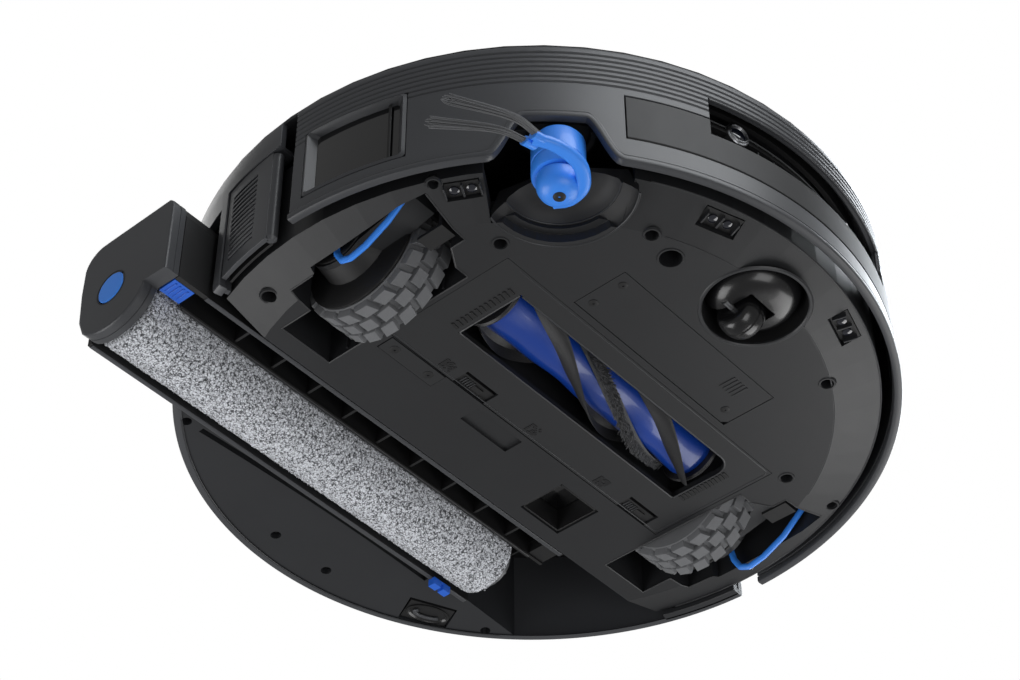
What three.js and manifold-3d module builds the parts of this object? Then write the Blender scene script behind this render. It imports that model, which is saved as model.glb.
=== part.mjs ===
// Robot vacuum with a slide-out roller mop, seen as an assembly of its real pieces.
// Millimetres, +Z up, the front of the robot faces -Y and its right side faces -X.
import * as THREE from "three";
import { mergeVertices } from "three/addons/utils/BufferGeometryUtils.js";
import Module from "manifold-3d";

const wasm = await Module();
wasm.setup();

// ---- driving dimensions -------------------------------------------------
const SHIFT_X = 8.2; // the body circle sits off the origin so that the whole part is centred
const SHIFT_Y = 0.73;
const BODY_R = 175; // outer radius of the rear shell
const BUMPER_R = 175.5; // outer radius of the bumper
const BUMPER_T = 3.2; // bumper wall
const LIP_R = 176.5; // outer radius of the lower bumper lip
const PLATE_R = 166.4; // radius of the base plate
const FLAT_R = 143; // the plate is flat inside this radius and rises outside it
const PLATE_Z = 11; // underside of the flat part of the base plate
const EDGE_Z = 18; // underside of the plate at its edge
const FLOOR_T = 2.8; // base plate thickness
const RIM_Z = 91.2; // top edge of the side walls
const DECK_Z = 68.8; // underside of the upper deck
const REAR_Z = 15; // lower edge of the rear shell
const BAY_Y0 = 50.4; // mop bay, front side
const BAY_Y1 = 119.5; // mop bay, rear side
const WHEEL_X = 115.5; // wheel centre, each side
const WHEEL_Y = -5;
const WHEEL_Z = 36.1;
const WHEEL_R = 36;
const WHEEL_W = 23;
const ARM_Y = -48; // suspension pivot
const ARM_Z = 41;
const BRUSH = { y: -38, z: 28, r: 22, core: 14.6, x0: -74, x1: 76 };
const SIDE_BRUSH = { x: -117.6, y: -113.4 };
const CASTER = { x: -1, y: -132, r: 24.5, trail: 8, wheel: 11 };
const MOP = { x0: -192.5, x1: 86, y0: 54.6, y1: 115, z0: 10, z1: 62 };
const ROLLER = { y: 91.5, z: 19.5, r: 19.5, core: 14, x0: -185.5, x1: 68 };
const SENSOR = { a0: -126.5, a1: -53.5, z0: 32.5, z1: 61 };
const SLOT = { a0: -111, a1: -69, z0: 50.5, z1: 75 };
const LIP_Z1 = 21; // top of the bumper lip
const SB = SIDE_BRUSH;
const GAP = 0.35; // clearance between neighbouring pieces

// ---- solids -------------------------------------------------------------
function solid(geometry) {
  const g = geometry.index ? geometry.toNonIndexed() : geometry.clone();
  g.deleteAttribute("normal");
  g.deleteAttribute("uv");
  const merged = mergeVertices(g, 1e-4);
  const tris = new Uint32Array(merged.index.array);
  const build = () =>
    new wasm.Manifold(
      new wasm.Mesh({
        numProp: 3,
        vertProperties: merged.attributes.position.array,
        triVerts: tris,
      }),
    );
  const made = build();
  if (made.volume() >= 0) return made;
  for (let i = 0; i < tris.length; i += 3)
    [tris[i + 1], tris[i + 2]] = [tris[i + 2], tris[i + 1]];
  return build();
}

const join = (first, ...rest) => rest.reduce((a, b) => a.add(b), first);
const cut = (first, ...rest) => rest.reduce((a, b) => a.subtract(b), first);
const rad = (deg) => (deg * Math.PI) / 180;

function box(x0, x1, y0, y1, z0, z1) {
  const g = new THREE.BoxGeometry(x1 - x0, y1 - y0, z1 - z0);
  return solid(g.translate((x0 + x1) / 2, (y0 + y1) / 2, (z0 + z1) / 2));
}

// A box turned about Z round its own centre.
function turnedBox(x, y, turn, w, d, z0, z1) {
  const g = new THREE.BoxGeometry(w, d, z1 - z0);
  return solid(g.rotateZ(rad(turn)).translate(x, y, (z0 + z1) / 2));
}

function cylZ(x, y, r, z0, z1, n = 24, r2 = r) {
  const g = new THREE.CylinderGeometry(r2, r, z1 - z0, n);
  return solid(g.rotateX(Math.PI / 2).translate(x, y, (z0 + z1) / 2));
}

function cylX(y, z, r, x0, x1, n = 24) {
  const g = new THREE.CylinderGeometry(r, r, x1 - x0, n);
  return solid(g.rotateZ(Math.PI / 2).translate((x0 + x1) / 2, y, z));
}

function cylY(x, z, r, y0, y1, n = 24) {
  return solid(new THREE.CylinderGeometry(r, r, y1 - y0, n).translate(x, (y0 + y1) / 2, z));
}

function prism(points, z0, z1) {
  const shape = new THREE.Shape(points.map(([x, y]) => new THREE.Vector2(x, y)));
  const g = new THREE.ExtrudeGeometry(shape, { depth: z1 - z0, bevelEnabled: false });
  return solid(g.translate(0, 0, z0));
}

// A profile in the Y-Z plane, pushed along X.
function prismX(points, x0, x1) {
  const shape = new THREE.Shape(points.map(([y, z]) => new THREE.Vector2(y, z)));
  const g = new THREE.ExtrudeGeometry(shape, { depth: x1 - x0, bevelEnabled: false });
  g.applyMatrix4(new THREE.Matrix4().set(0, 0, 1, x0, 1, 0, 0, 0, 0, 1, 0, 0, 0, 0, 0, 1));
  return solid(g);
}

function arc(r, a0, a1, n, cx = 0, cy = 0) {
  const out = [];
  for (let i = 0; i <= n; i++) {
    const a = rad(a0 + ((a1 - a0) * i) / n);
    out.push([cx + r * Math.cos(a), cy + r * Math.sin(a)]);
  }
  return out;
}

// A curved slab of the body circle between two radii and two angles.
function sector(r0, r1, a0, a1, z0, z1) {
  const n = Math.max(2, Math.round(Math.abs(a1 - a0) / 6));
  return prism([...arc(r1, a0, a1, n), ...arc(r0, a1, a0, n)], z0, z1);
}

// The body circle below the line y = top.
function frontDisc(r, top, z0, z1) {
  const a = (Math.asin(top / r) * 180) / Math.PI;
  return prism(arc(r, -180 - a, a, 48), z0, z1);
}

// The body circle above the line y = low.
function rearDisc(r, low, z0, z1) {
  const a = (Math.asin(low / r) * 180) / Math.PI;
  return prism(arc(r, a, 180 - a, 28), z0, z1);
}

// A closed profile [radius, z] turned round the Z axis at x, y.
function turned(profile, x, y, n = 24) {
  const g = new THREE.LatheGeometry(
    profile.map(([r, z]) => new THREE.Vector2(r, z)),
    n,
  );
  return solid(g.rotateX(Math.PI / 2).translate(x, y, 0));
}

function turnedX(profile, x, y, z, n = 24) {
  const g = new THREE.LatheGeometry(
    profile.map(([r, h]) => new THREE.Vector2(r, h)),
    n,
  );
  return solid(g.rotateZ(-Math.PI / 2).translate(x, y, z));
}

// A round or flat cord along a smooth line of points.
function cord(points, w, h) {
  const curve = new THREE.CatmullRomCurve3(points.map((p) => new THREE.Vector3(...p)));
  const shape = new THREE.Shape(
    arc(0.5, 0, 300, 5).map(([x, y]) => new THREE.Vector2(x * w, y * h)),
  );
  return solid(
    new THREE.ExtrudeGeometry(shape, { steps: 9, bevelEnabled: false, extrudePath: curve }),
  );
}

const mirrorX = (points) => points.map(([x, y]) => [-x, y]).reverse();

// ---- materials ----------------------------------------------------------
const paint = (color, roughness, metalness = 0) =>
  new THREE.MeshStandardMaterial({ color, roughness, metalness });
const PLASTIC = paint(0x24262a, 0.6);
const SATIN = paint(0x33363c, 0.42);
const GLOSS = paint(0x07080a, 0.08);
const BLUE = paint(0x2f7fe6, 0.4);
const TYRE = paint(0x63666b, 0.85);
const FABRIC = paint(0xa9adb4, 0.95);
const RUBBER = paint(0x15161a, 0.7);
const METAL = paint(0xb9bdc2, 0.3, 1);
const BOARD = paint(0x1d5b38, 0.5);
const SMOKE = paint(0x3a3f46, 0.15);

const group = new THREE.Group();
group.name = "robot_vacuum";

function put(name, made, material) {
  const mesh = made.getMesh();
  const g = new THREE.BufferGeometry();
  g.setAttribute("position", new THREE.BufferAttribute(new Float32Array(mesh.vertProperties), 3));
  g.setIndex(new THREE.BufferAttribute(new Uint32Array(mesh.triVerts), 1));
  g.translate(SHIFT_X, SHIFT_Y, 0);
  const shown = g.toNonIndexed();
  shown.computeVertexNormals();
  const node = new THREE.Mesh(shown, material);
  node.name = name;
  group.add(node);
}

// ---- body ---------------------------------------------------------------
const WELL_LEFT = [
  [148.5, -63.5], [120, -61.5], [120, -53], [110, -47], [101.6, -47], [101.6, 40],
  [133, 40], [133, 22], [147, 20.5], [147.5, 5], [151, 4], [151, -50],
];
const WALL_LEFT = [
  [150.5, -66], [117.7, -64], [117.7, -54.4], [109.3, -49.3], [99.4, -49.3], [99.4, 42.3],
  [135.3, 42.3], [135.3, 24.2], [149.2, 22.6], [149.8, 7.3], [153.3, 6.3], [153.3, -51],
];
const SENSOR_SEATS = [
  [-139.6, -77.4, -61, 16, 9],
  [-50.6, -150, -19.5, 20, 10.5],
  [41, -152.6, 16, 20, 10],
];
const SCREW_HOLES = [
  [-149.5, 31.5, 3.4], [-108, -71.5, 3], [-68.2, -125.2, 3], [-51.3, -122.6, 5.4],
  [106.5, -71.5, 3], [62.8, -126.8, 3], [-149.6, -69, 2.4], [144.5, -72.4, 2.6],
];

// The wells and their walls, both sides.
const wells = (points, z0, z1) => prism(points, z0, z1).add(prism(mirrorX(points), z0, z1));

function chassis() {
  const tub = (inset) => [
    [0, PLATE_Z + inset], [FLAT_R - inset * 0.15, PLATE_Z + inset],
    [PLATE_R - inset, EDGE_Z + inset * 0.9], [PLATE_R - inset, DECK_Z - GAP + inset * 3],
    [0, DECK_Z - GAP + inset * 3],
  ];
  const outer = turned(tub(0), 0, 0, 60).intersect(box(-200, 200, -200, BAY_Y0, 0, 100));
  const inner = turned(tub(FLOOR_T), 0, 0, 60).intersect(
    box(-200, 200, -200, BAY_Y0 - 2.6, 0, 100),
  );
  const limit = turned([[0, 0], [PLATE_R, 0], [PLATE_R, 100], [0, 100]], 0, 0, 60);
  const cone = turned([[0, PLATE_Z], [FLAT_R, PLATE_Z], [PLATE_R, EDGE_Z], [PLATE_R, 100], [0, 100]], 0, 0, 60);
  const inside = join(
    wells(WALL_LEFT, PLATE_Z, 84.5),
    box(-86, 91, -66, -11, PLATE_Z, 55),
    box(-101, 101, -70.2, 7, PLATE_Z, 18),
    cylZ(CASTER.x, CASTER.y, CASTER.r + 2.4, PLATE_Z, 56, 32),
    cylZ(SB.x + 2, SB.y + 1, 36.4, PLATE_Z, 25, 36),
    cylZ(SB.x, SB.y, 17, PLATE_Z, 50, 24),
    box(34.7, 68.6, 12.6, 44.6, PLATE_Z, 30),
    ...SENSOR_SEATS.map(([x, y, t, w, d]) => turnedBox(x, y, t, w + 4, d + 4, PLATE_Z, 24)),
    ...SCREW_HOLES.map(([x, y, r]) => cylZ(x, y, r + 2, PLATE_Z, 24, 16)),
  ).intersect(cone).intersect(box(-200, 200, -200, BAY_Y0, 0, 100));
  const body = join(cut(outer, inner), inside).intersect(limit);
  return cut(
    body,
    wells(WELL_LEFT, 0, 82.3),
    box(-99.2, 99.2, -68.2, 5.1, 0, PLATE_Z + 4.6),
    box(-83, 88, -63, -14, 0, 52.4),
    box(-32, 40, -52, -24, 48, 70),
    cylZ(CASTER.x, CASTER.y, CASTER.r, 0, 53.4, 32),
    cylZ(SB.x + 2, SB.y + 1, 27.5, 0, 22.6, 36),
    cylZ(SB.x + 2, SB.y + 1, 34.5, 0, PLATE_Z + 4, 36, 31),
    cylZ(SB.x, SB.y, 14.6, 18, 47.5, 24),
    sector(PLATE_R - 24, PLATE_R + 9, -147.5, -124.5, 0, 44),
    box(37.3, 66, 15, 42, 0, 28),
    box(-32.3, 0.3, 9, 20, 0, PLATE_Z + 1.6),
    box(-95.4, -58.6, 5.4, 15.4, 0, PLATE_Z + 1.7),
    box(-58, 54.5, -102, -72, 0, PLATE_Z + 4),
    ...SENSOR_SEATS.map(([x, y, t, w, d]) => turnedBox(x, y, t, w, d, 0, 22)),
    ...SCREW_HOLES.map(([x, y, r]) => cylZ(x, y, r, 0, 22, 16)),
    sector(140, PLATE_R + 9, SLOT.a0 - 2.5, SLOT.a1 + 2.5, 44.5, 90),
  );
}

function rearUnderbody() {
  const slab = rearDisc(BODY_R - 3.9, BAY_Y1, REAR_Z, DECK_Z - GAP);
  // The underside is a shallow dish: lower at the rim, higher towards the bay.
  const dish = turned([[0, 0], [171.2, 0], [171.2, REAR_Z + 0.6], [120, 20.5], [0, 20.5]], 0, 0, 48);
  const hollow = rearDisc(BODY_R - 6.6, BAY_Y1 + 2.5, 23.2, DECK_Z + 5);
  return cut(
    slab,
    dish,
    hollow,
    box(-104, 58, 122.9, 125.9, 0, 21.6),
    ...[[-113.5, 124.6], [-22, 155.6], [16, 156.8], [109, 128.4]].map(([x, y]) => cylZ(x, y, 2.8, 0, 30, 14)),
    turnedBox(78, 142, -24, 27, 17, 0, 40),
  );
}

function upperShell() {
  const mid = BODY_R - 1.7;
  const r0 = PLATE_R + GAP;
  const top = DECK_Z + 2.6;
  const body = join(
    sector(BODY_R - 3.5, BODY_R, 2, 178.5, REAR_Z, RIM_Z),
    frontDisc(PLATE_R - 1.3, 0, DECK_Z, top),
    rearDisc(mid, -0.5, DECK_Z, top),
    sector(PLATE_R - 2.6, PLATE_R, -181.5, 3, DECK_Z, RIM_Z),
    sector(r0, mid, 2, 16.6, REAR_Z, REAR_Z + 3),
    sector(PLATE_R - 1.2, mid, 2, 4, DECK_Z + 1, RIM_Z),
    sector(r0, mid, 2, 4, REAR_Z, DECK_Z + 1.5),
    sector(r0, mid, 163, 165, EDGE_Z, DECK_Z + 1),
    sector(PLATE_R - 1.2, mid, 161.6, 178.2, 75.3, 77.9),
    sector(PLATE_R - 1.2, mid, 176.5, 178.2, 76, RIM_Z),
  );
  const grown = WALL_LEFT.map(([x, y]) => [x + Math.sign(x - 125) * 0.4, y + Math.sign(y + 7) * 0.4]);
  return cut(
    body,
    box(-200, -100, BAY_Y0, BAY_Y1, 0, DECK_Z),
    sector(r0, BODY_R + 2, 165.2, 180, 0, 75),
    box(-200, -120, -20, BAY_Y0 + 0.2, 0, EDGE_Z + 0.2),
    wells(grown, 60, 84.9),
    box(-60, 60, -60, 24, 60, 80),
    box(-52, 52, 62, 116, 60, 80),
    sector(140, PLATE_R + 9, SLOT.a0 - 2.5, SLOT.a1 + 2.5, 44.5, 78.7),
  );
}

function topCover() {
  const z = RIM_Z;
  const plate = turned(
    [[0, z + GAP], [173.2, z + GAP], [174, z + 1.2], [172.4, z + 2.3], [120, z + 3.4], [0, z + 3.8]],
    0, 0, 60,
  );
  const rib = prism(arc(160, 0, 351, 39), z - 1.2, z + 1).subtract(
    prism(arc(157, 0, 351, 39), z - 3, z + 0.6),
  );
  return cut(join(plate, rib), cylZ(0, -120, 12, z + 0.95, z + 9, 24), cylZ(0, -120, 9, 80, 99, 24));
}

function ventPanel() {
  // A raised block with slanting louvres and a rounded front post.
  const block = sector(PLATE_R + 1, BODY_R - 0.5, 165.6, 177, EDGE_Z + 0.3, 74.7);
  const slots = [];
  for (let i = 0; i < 9; i++) {
    const z = 26.4 + i * 4.6;
    slots.push(sector(BODY_R - 2.6, BODY_R + 2, 166.6, 174, z, z + 2.2));
  }
  return cut(join(block, cylZ(-171.2, 9.4, 3, EDGE_Z + 0.3, 74.7, 20)), ...slots);
}

// ---- bumper -------------------------------------------------------------
// The lip rises over the side brush in steps: [angle 0, angle 1, lower edge].
const ARCH = [[-146.6, -127, 26], [-145, -128.8, 33], [-143.2, -130.6, 39], [-141.8, -131.8, 43.5]];

function bumper() {
  const wall = sector(BUMPER_R - BUMPER_T, BUMPER_R, -178, -2, LIP_Z1 + GAP, RIM_Z - 0.4);
  const collar = sector(BUMPER_R - 5.2, BUMPER_R - 2, -177, -157.2, 25.6, 72.6);
  const over = ARCH.map(([a0, a1, z]) => sector(160, 180, a0 - 1.9, a1 + 1.9, 0, z + 3.4));
  return cut(
    join(wall, collar),
    ...over,
    sector(160, 180, -176, -158.4, 27.5, 70.5),
    sector(160, 180, SENSOR.a0, SENSOR.a1, SENSOR.z0, SENSOR.z1),
    sector(160, 180, SLOT.a0, SLOT.a1, SENSOR.z0 + 2, SLOT.z1),
  );
}

function bumperLip() {
  const ring = sector(172.2, LIP_R, -178, -2, EDGE_Z - 1, LIP_Z1);
  const outer = ARCH.map(([a0, a1, z]) => sector(172.2, LIP_R, a0 - 1.7, a1 + 1.7, EDGE_Z - 1, z + 3));
  const inner = ARCH.map(([a0, a1, z]) => sector(160, 190, a0, a1, 0, z - 0.6));
  return cut(join(ring, ...outer), ...inner);
}

function sensorWindow() {
  return cut(
    sector(BUMPER_R - 2.4, BUMPER_R + 0.3, SENSOR.a0 + 0.15, SENSOR.a1 - 0.15, SENSOR.z0 + GAP, SENSOR.z1 - GAP),
    sector(160, 180, SLOT.a0, SLOT.a1, SLOT.z0, SLOT.z1),
  );
}

function sensorModule() {
  const body = sector(146, 163, SLOT.a0 - 1, SLOT.a1 + 1, 46.5, 77);
  const steps = [
    sector(159, 166, SLOT.a0 + 3, SLOT.a0 + 12, 50.5, 74),
    sector(160, 166, SLOT.a0 + 13.5, SLOT.a1 - 13.5, 54, 70),
    sector(159, 166, SLOT.a1 - 12, SLOT.a1 - 3, 50.5, 74),
  ];
  return cut(body, ...steps);
}

function lens(angle) {
  const g = new THREE.LatheGeometry(
    [[0, 0], [6.4, 0], [6.4, 5], [5, 6.4], [4.2, 5.6], [0, 4.4]].map(([r, h]) => new THREE.Vector2(r, h)),
    24,
  );
  g.rotateZ(-Math.PI / 2).rotateZ(rad(angle));
  const c = 159.2;
  return solid(g.translate(c * Math.cos(rad(angle)), c * Math.sin(rad(angle)), 64));
}

// ---- brush bay ----------------------------------------------------------
function brushCover() {
  const plate = box(-98.9, 98.9, -67.9, 4.8, PLATE_Z + 0.1, PLATE_Z + 4.2);
  const mouth = [[-77.5, -57], [72.5, -57], ...arc(10, -70, 0, 4, 72.5, -47), [82.5, -19], [-77.5, -19]];
  const open = cut(
    plate,
    prism(mouth, 0, 60),
    box(-54.6, -33, -4.8, 8, 0, 60),
    box(67.8, 89.4, -4.8, 8, 0, 60),
  );
  return open;
}

function coverLatch(x0, x1) {
  const plate = box(x0 + 0.4, x1 - 0.4, -2.4, 4.6, PLATE_Z + 1.1, PLATE_Z + 4.2);
  return join(plate, box((x0 + x1) / 2 - 1.2, (x0 + x1) / 2 + 5, -0.4, 2.4, PLATE_Z + 0.3, PLATE_Z + 2));
}

// A ribbon that winds round the brush from one end to the other.
function helix(r0, r1, thick, start, sweep, x0, x1, n = 18) {
  const pos = [];
  for (let i = 0; i <= n; i++) {
    const t = i / n;
    const a = rad(start + sweep * Math.abs(2 * t - 1));
    const x = x0 + (x1 - x0) * t;
    const half = thick / 2;
    const ring = [[r0, -half], [r1, -half * 0.7], [r1, half * 0.7], [r0, half]];
    for (const [r, s] of ring)
      pos.push([x, BRUSH.y + r * Math.cos(a) - s * Math.sin(a), BRUSH.z + r * Math.sin(a) + s * Math.cos(a)]);
  }
  const tri = [];
  const face = (a, b, c) => tri.push(...pos[a], ...pos[b], ...pos[c]);
  for (let i = 0; i < n; i++)
    for (let j = 0; j < 4; j++) {
      const a = i * 4 + j;
      const b = i * 4 + ((j + 1) % 4);
      face(a, a + 4, b);
      face(b, a + 4, b + 4);
    }
  face(0, 1, 2);
  face(0, 2, 3);
  const e = n * 4;
  face(e, e + 2, e + 1);
  face(e, e + 3, e + 2);
  const g = new THREE.BufferGeometry();
  g.setAttribute("position", new THREE.BufferAttribute(new Float32Array(tri), 3));
  return solid(g);
}

const brushCore = () =>
  join(
    cylX(BRUSH.y, BRUSH.z, BRUSH.core, BRUSH.x0, BRUSH.x1, 32),
    cylX(BRUSH.y, BRUSH.z, 3, BRUSH.x0 - 4, BRUSH.x1 + 3.6, 12),
  );

function brushBlades() {
  const ring = (x0, x1) =>
    cylX(BRUSH.y, BRUSH.z, 18.5, x0, x1, 24).subtract(
      cylX(BRUSH.y, BRUSH.z, BRUSH.core + 0.6, x0 - 1, x1 + 1, 24),
    );
  const blades = [0, 120, 240].map((a) =>
    helix(BRUSH.core + 0.9, BRUSH.r, 1.7, a, 150, BRUSH.x0 + 0.4, BRUSH.x1 - 0.4),
  );
  return join(ring(BRUSH.x0, BRUSH.x0 + 3), ring(BRUSH.x1 - 3, BRUSH.x1), ...blades);
}

const brushStrip = () =>
  helix(BRUSH.core + 0.9, BRUSH.r - 1.5, 3.6, 60, 150, BRUSH.x0 + 3.6, BRUSH.x1 - 3.6);

const brushMotor = () =>
  join(cylX(25, 42, 14, -70, -16, 24), cylX(25, 42, 3, -76, -14, 12), box(-62, -24, 13, 37, 16.5, 34));

// ---- side brush ---------------------------------------------------------
const sideMotor = () =>
  join(cylZ(SB.x, SB.y, 11.4, 15.2, 39, 24), cylZ(SB.x + 6, SB.y + 6, 5, 38, 46, 16));

function sideHub() {
  const dome = turned([[0, 4], [5, 4.4], [9, 6.6], [11, 10.5], [11, 14.6], [0, 14.6]], SB.x, SB.y, 24);
  const arm = cord(
    [[SB.x + 2, SB.y + 4, 8], [SB.x + 5, SB.y - 8, 8.2], [SB.x - 5, SB.y - 16, 8.4], [SB.x - 22, SB.y - 16, 8.5],
      [SB.x - 30, SB.y - 11, 8.4]],
    6,
    4.4,
  );
  return join(dome, arm);
}

const tuft = (dy, z, x1) =>
  cord(
    [[SB.x - 31.4, SB.y - 9.4 + dy, 9], [SB.x - 46, SB.y - 5 + dy * 1.6, z], [x1, SB.y + 2 + dy * 2.4, z - 1.6]],
    3.4,
    2.2,
  );

// ---- caster -------------------------------------------------------------
function casterFork() {
  const c = CASTER;
  const y = c.y + c.trail;
  const shell = join(
    turned([[0, 20], [17, 20], [19.4, 24], [19.4, 32], [15, 39], [0, 41]], c.x, c.y, 24),
    cylZ(c.x, c.y, 4, 38, 52.8, 14),
    cylZ(c.x, c.y - 5, 13, 11, 26, 20),
    box(c.x - 13, c.x + 13, c.y - 5, y + 4, 11, 24),
  );
  return cut(
    shell,
    cylX(y, c.wheel + 0.3, c.wheel + 1, c.x - 8.4, c.x + 8.4, 28),
    cylX(y, c.wheel + 0.3, 2.4, c.x - 15, c.x + 15, 14),
    box(c.x - 30, c.x + 30, y + 6, y + 30, 0, 19),
  );
}

const casterWheel = () => {
  const { x, y, trail, wheel } = CASTER;
  return turnedX(
    [[1.9, -7.4], [wheel - 2.4, -7.4], [wheel - 0.5, -4.8], [wheel, 0], [wheel - 0.5, 4.8], [wheel - 2.4, 7.4], [1.9, 7.4], [1.9, -7.4]],
    x, y + trail, wheel + 0.3, 32,
  );
};
const casterAxle = () =>
  cylX(CASTER.y + CASTER.trail, CASTER.wheel + 0.3, 1.6, CASTER.x - 12.4, CASTER.x + 12.4, 14);

// ---- drive wheels (side = +1 left, -1 right) ----------------------------
function wheelTyre(side) {
  const x = side * WHEEL_X;
  const w = WHEEL_W / 2;
  const base = WHEEL_R - 3.2;
  let tyre = turnedX([[27, -w], [base, -w], [base, w], [27, w], [27, -w]], x, WHEEL_Y, WHEEL_Z, 32);
  const rows = 2;
  for (let row = 0; row < rows; row++)
    for (let i = 0; i < 12; i++) {
      const g = new THREE.BoxGeometry(w - 0.6, 11, 4.4);
      g.translate((row - 0.5) * w, 0, base + 0.7).rotateX(rad((i + row / 2) * 30));
      tyre = tyre.add(solid(g.translate(x, WHEEL_Y, WHEEL_Z)));
    }
  return tyre;
}

function wheelHub(side) {
  const w = WHEEL_W / 2;
  const hub = turnedX(
    [[2.6, -w + 2], [26.6, -w + 1], [26.6, w - 1], [22, w - 1], [18, w - 5], [2.6, w - 5], [2.6, -w + 2]],
    side * WHEEL_X, WHEEL_Y, WHEEL_Z, 32,
  );
  return hub;
}

function wheelArm(side) {
  const a = side * (WHEEL_X + WHEEL_W / 2 + 1.2);
  const b = side * 143.5;
  const [x0, x1] = [Math.min(a, b), Math.max(a, b)];
  const boss = cylX(WHEEL_Y, WHEEL_Z, 19, x0, x1, 28);
  const link = prismX([[-12, WHEEL_Z + 15], [-50, ARM_Z + 12], [-55, ARM_Z - 4], [-50, ARM_Z - 12], [-10, WHEEL_Z - 16]], x0, x1 - (side > 0 ? 2 : 0));
  const axle = cylX(WHEEL_Y, WHEEL_Z, 2.3, Math.min(side * 106, a), Math.max(side * 106, a), 14);
  const pivot = cylX(ARM_Y, ARM_Z, 4.5, Math.min(side * 123, side * 147.5), Math.max(side * 123, side * 147.5), 18);
  const motor = cylX(-34, 44, 11, Math.min(side * 118, side * 136), Math.max(side * 118, side * 136), 20);
  return join(boss, link, axle, pivot, motor.intersect(box(-200, 200, -60, -WHEEL_R + WHEEL_Y - 0.8, 0, 90)));
}

function wheelBracket(side) {
  const x = side * 128;
  return join(
    box(x - 4.5, x + 4.5, -58.6, -56.9, 14, 30),
    box(x - 4.5, x + 4.5, -58.6, -44, 12.6, 14.2),
  );
}

const wheelCable = (side) =>
  cord(
    [
      [side * 147.6, -54, 27], [side * 147.7, -40, 15], [side * 147.6, -26, 8.5], [side * 147.6, -18, 6.4],
      [side * 147.4, -12, 9.5], [side * 147.3, -9, 16], [side * 147.2, -7, 27],
    ],
    2.6,
    1.8,
  );

// ---- mop carriage -------------------------------------------------------
function mopHousing() {
  const m = MOP;
  const x0 = m.x0 + 8.4;
  const low = 16; // lower edge of the front wall
  const end = ROLLER.x1 + 9;
  const top = [
    [m.y0, 55], [m.y0 + 3, m.z1], [m.y1 - 14, m.z1], [m.y1 - 4, m.z1 - 4], [m.y1, 50], [m.y1, 41], [m.y0, 41],
  ];
  const roof = cut(prismX(top, x0, end), box(x0 - 1, end - 2.4, m.y0 + 2.6, m.y1 - 2.6, 39, 59));
  let shell = join(
    roof,
    box(x0, m.x1, m.y0, m.y0 + 2.6, low, 42),
    box(x0, end, m.y1 - 2.6, m.y1, m.z0, 42),
    box(end - 2.6, end, m.y0, m.y1, 24, 42),
    box(end - 2, m.x1, m.y0, m.y0 + 14, low + 2, 42),
    box(x0, m.x1, m.y0 + 14.2, m.y0 + 15.8, low + 1, 32),
    box(x0, m.x1, m.y0, m.y0 + 15.8, 30, 32),
    box(x0, end, m.y0, m.y1, 40, 42),
  );
  // Ribs across the channel in front of the roller.
  for (let i = 0; i < 9; i++)
    shell = shell.add(box(-136 + i * 24, -134.6 + i * 24, m.y0 + 1, m.y0 + 15, low + 2.6, 31));
  return cut(
    shell,
    cylX(ROLLER.y, ROLLER.z, ROLLER.r + 0.8, x0 - 1, end - 0.8, 44),
    cylX(ROLLER.y, ROLLER.z, 6.6, 60, 90, 20),
    box(x0 - 1, x0 + 15, m.y0 + 2.6, m.y0 + 16, 0, 29),
  );
}

function mopEndCap() {
  const m = MOP;
  const outline = [
    [m.y0, 16], [m.y0, 57], [m.y0 + 2.6, m.z1], [m.y1 - 15, m.z1],
    ...arc(11, 80, 10, 4, m.y1 - 11.5, m.z1 - 12), [m.y1, 36], [m.y1 - 2, 16], [m.y1 - 4.5, 9],
    [103, 5.4], [92, 2.8], [82, 1.6], [74.6, 3.4], [69.6, 7.4], [67.8, 14.4],
  ];
  return cut(
    prismX(outline, m.x0, m.x0 + 8),
    cylX(92.6, 27.2, 8.9, m.x0 - 2, m.x0 + 4.6, 28),
    cylX(ROLLER.y, ROLLER.z, 4.2, m.x0 + 5.6, m.x0 + 12, 18),
  );
}

const mopButton = () =>
  turnedX([[0, -0.3], [7.6, -0.3], [8.5, 0.5], [8.5, 2.7], [0, 2.7]], MOP.x0, 92.6, 27.2, 28);
const mopLatch = () => box(MOP.x0 + 9, MOP.x0 + 21, MOP.y0 + 3.2, MOP.y0 + 13.6, 16.4, 26);
function mopClip() {
  const y0 = MOP.y1 - 3.6;
  return join(
    box(50, 55, y0, MOP.y1 + 0.6, 5.4, 9.2), box(57, 62, y0, MOP.y1 + 0.6, 5.4, 9.2),
    box(50, 62, y0, MOP.y1 + 0.6, 8.4, 9.6),
  );
}
const rollerCore = () =>
  join(
    cylX(ROLLER.y, ROLLER.z, ROLLER.core, ROLLER.x0 + 3, ROLLER.x1 + 1.2, 32),
    cylX(ROLLER.y, ROLLER.z, 3.6, ROLLER.x0 + 0.4, ROLLER.x0 + 4, 16),
    cylX(ROLLER.y, ROLLER.z, 12, ROLLER.x1, ROLLER.x1 + 6, 24),
    cylX(ROLLER.y, ROLLER.z, 5.6, ROLLER.x1, ROLLER.x1 + 8.6, 18),
  );
const rollerSleeve = () =>
  cut(
    cylX(ROLLER.y, ROLLER.z, ROLLER.r, ROLLER.x0 + 3, ROLLER.x1, 40),
    cylX(ROLLER.y, ROLLER.z, ROLLER.core + 0.3, ROLLER.x0, ROLLER.x1 + 3, 32),
  );

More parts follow.
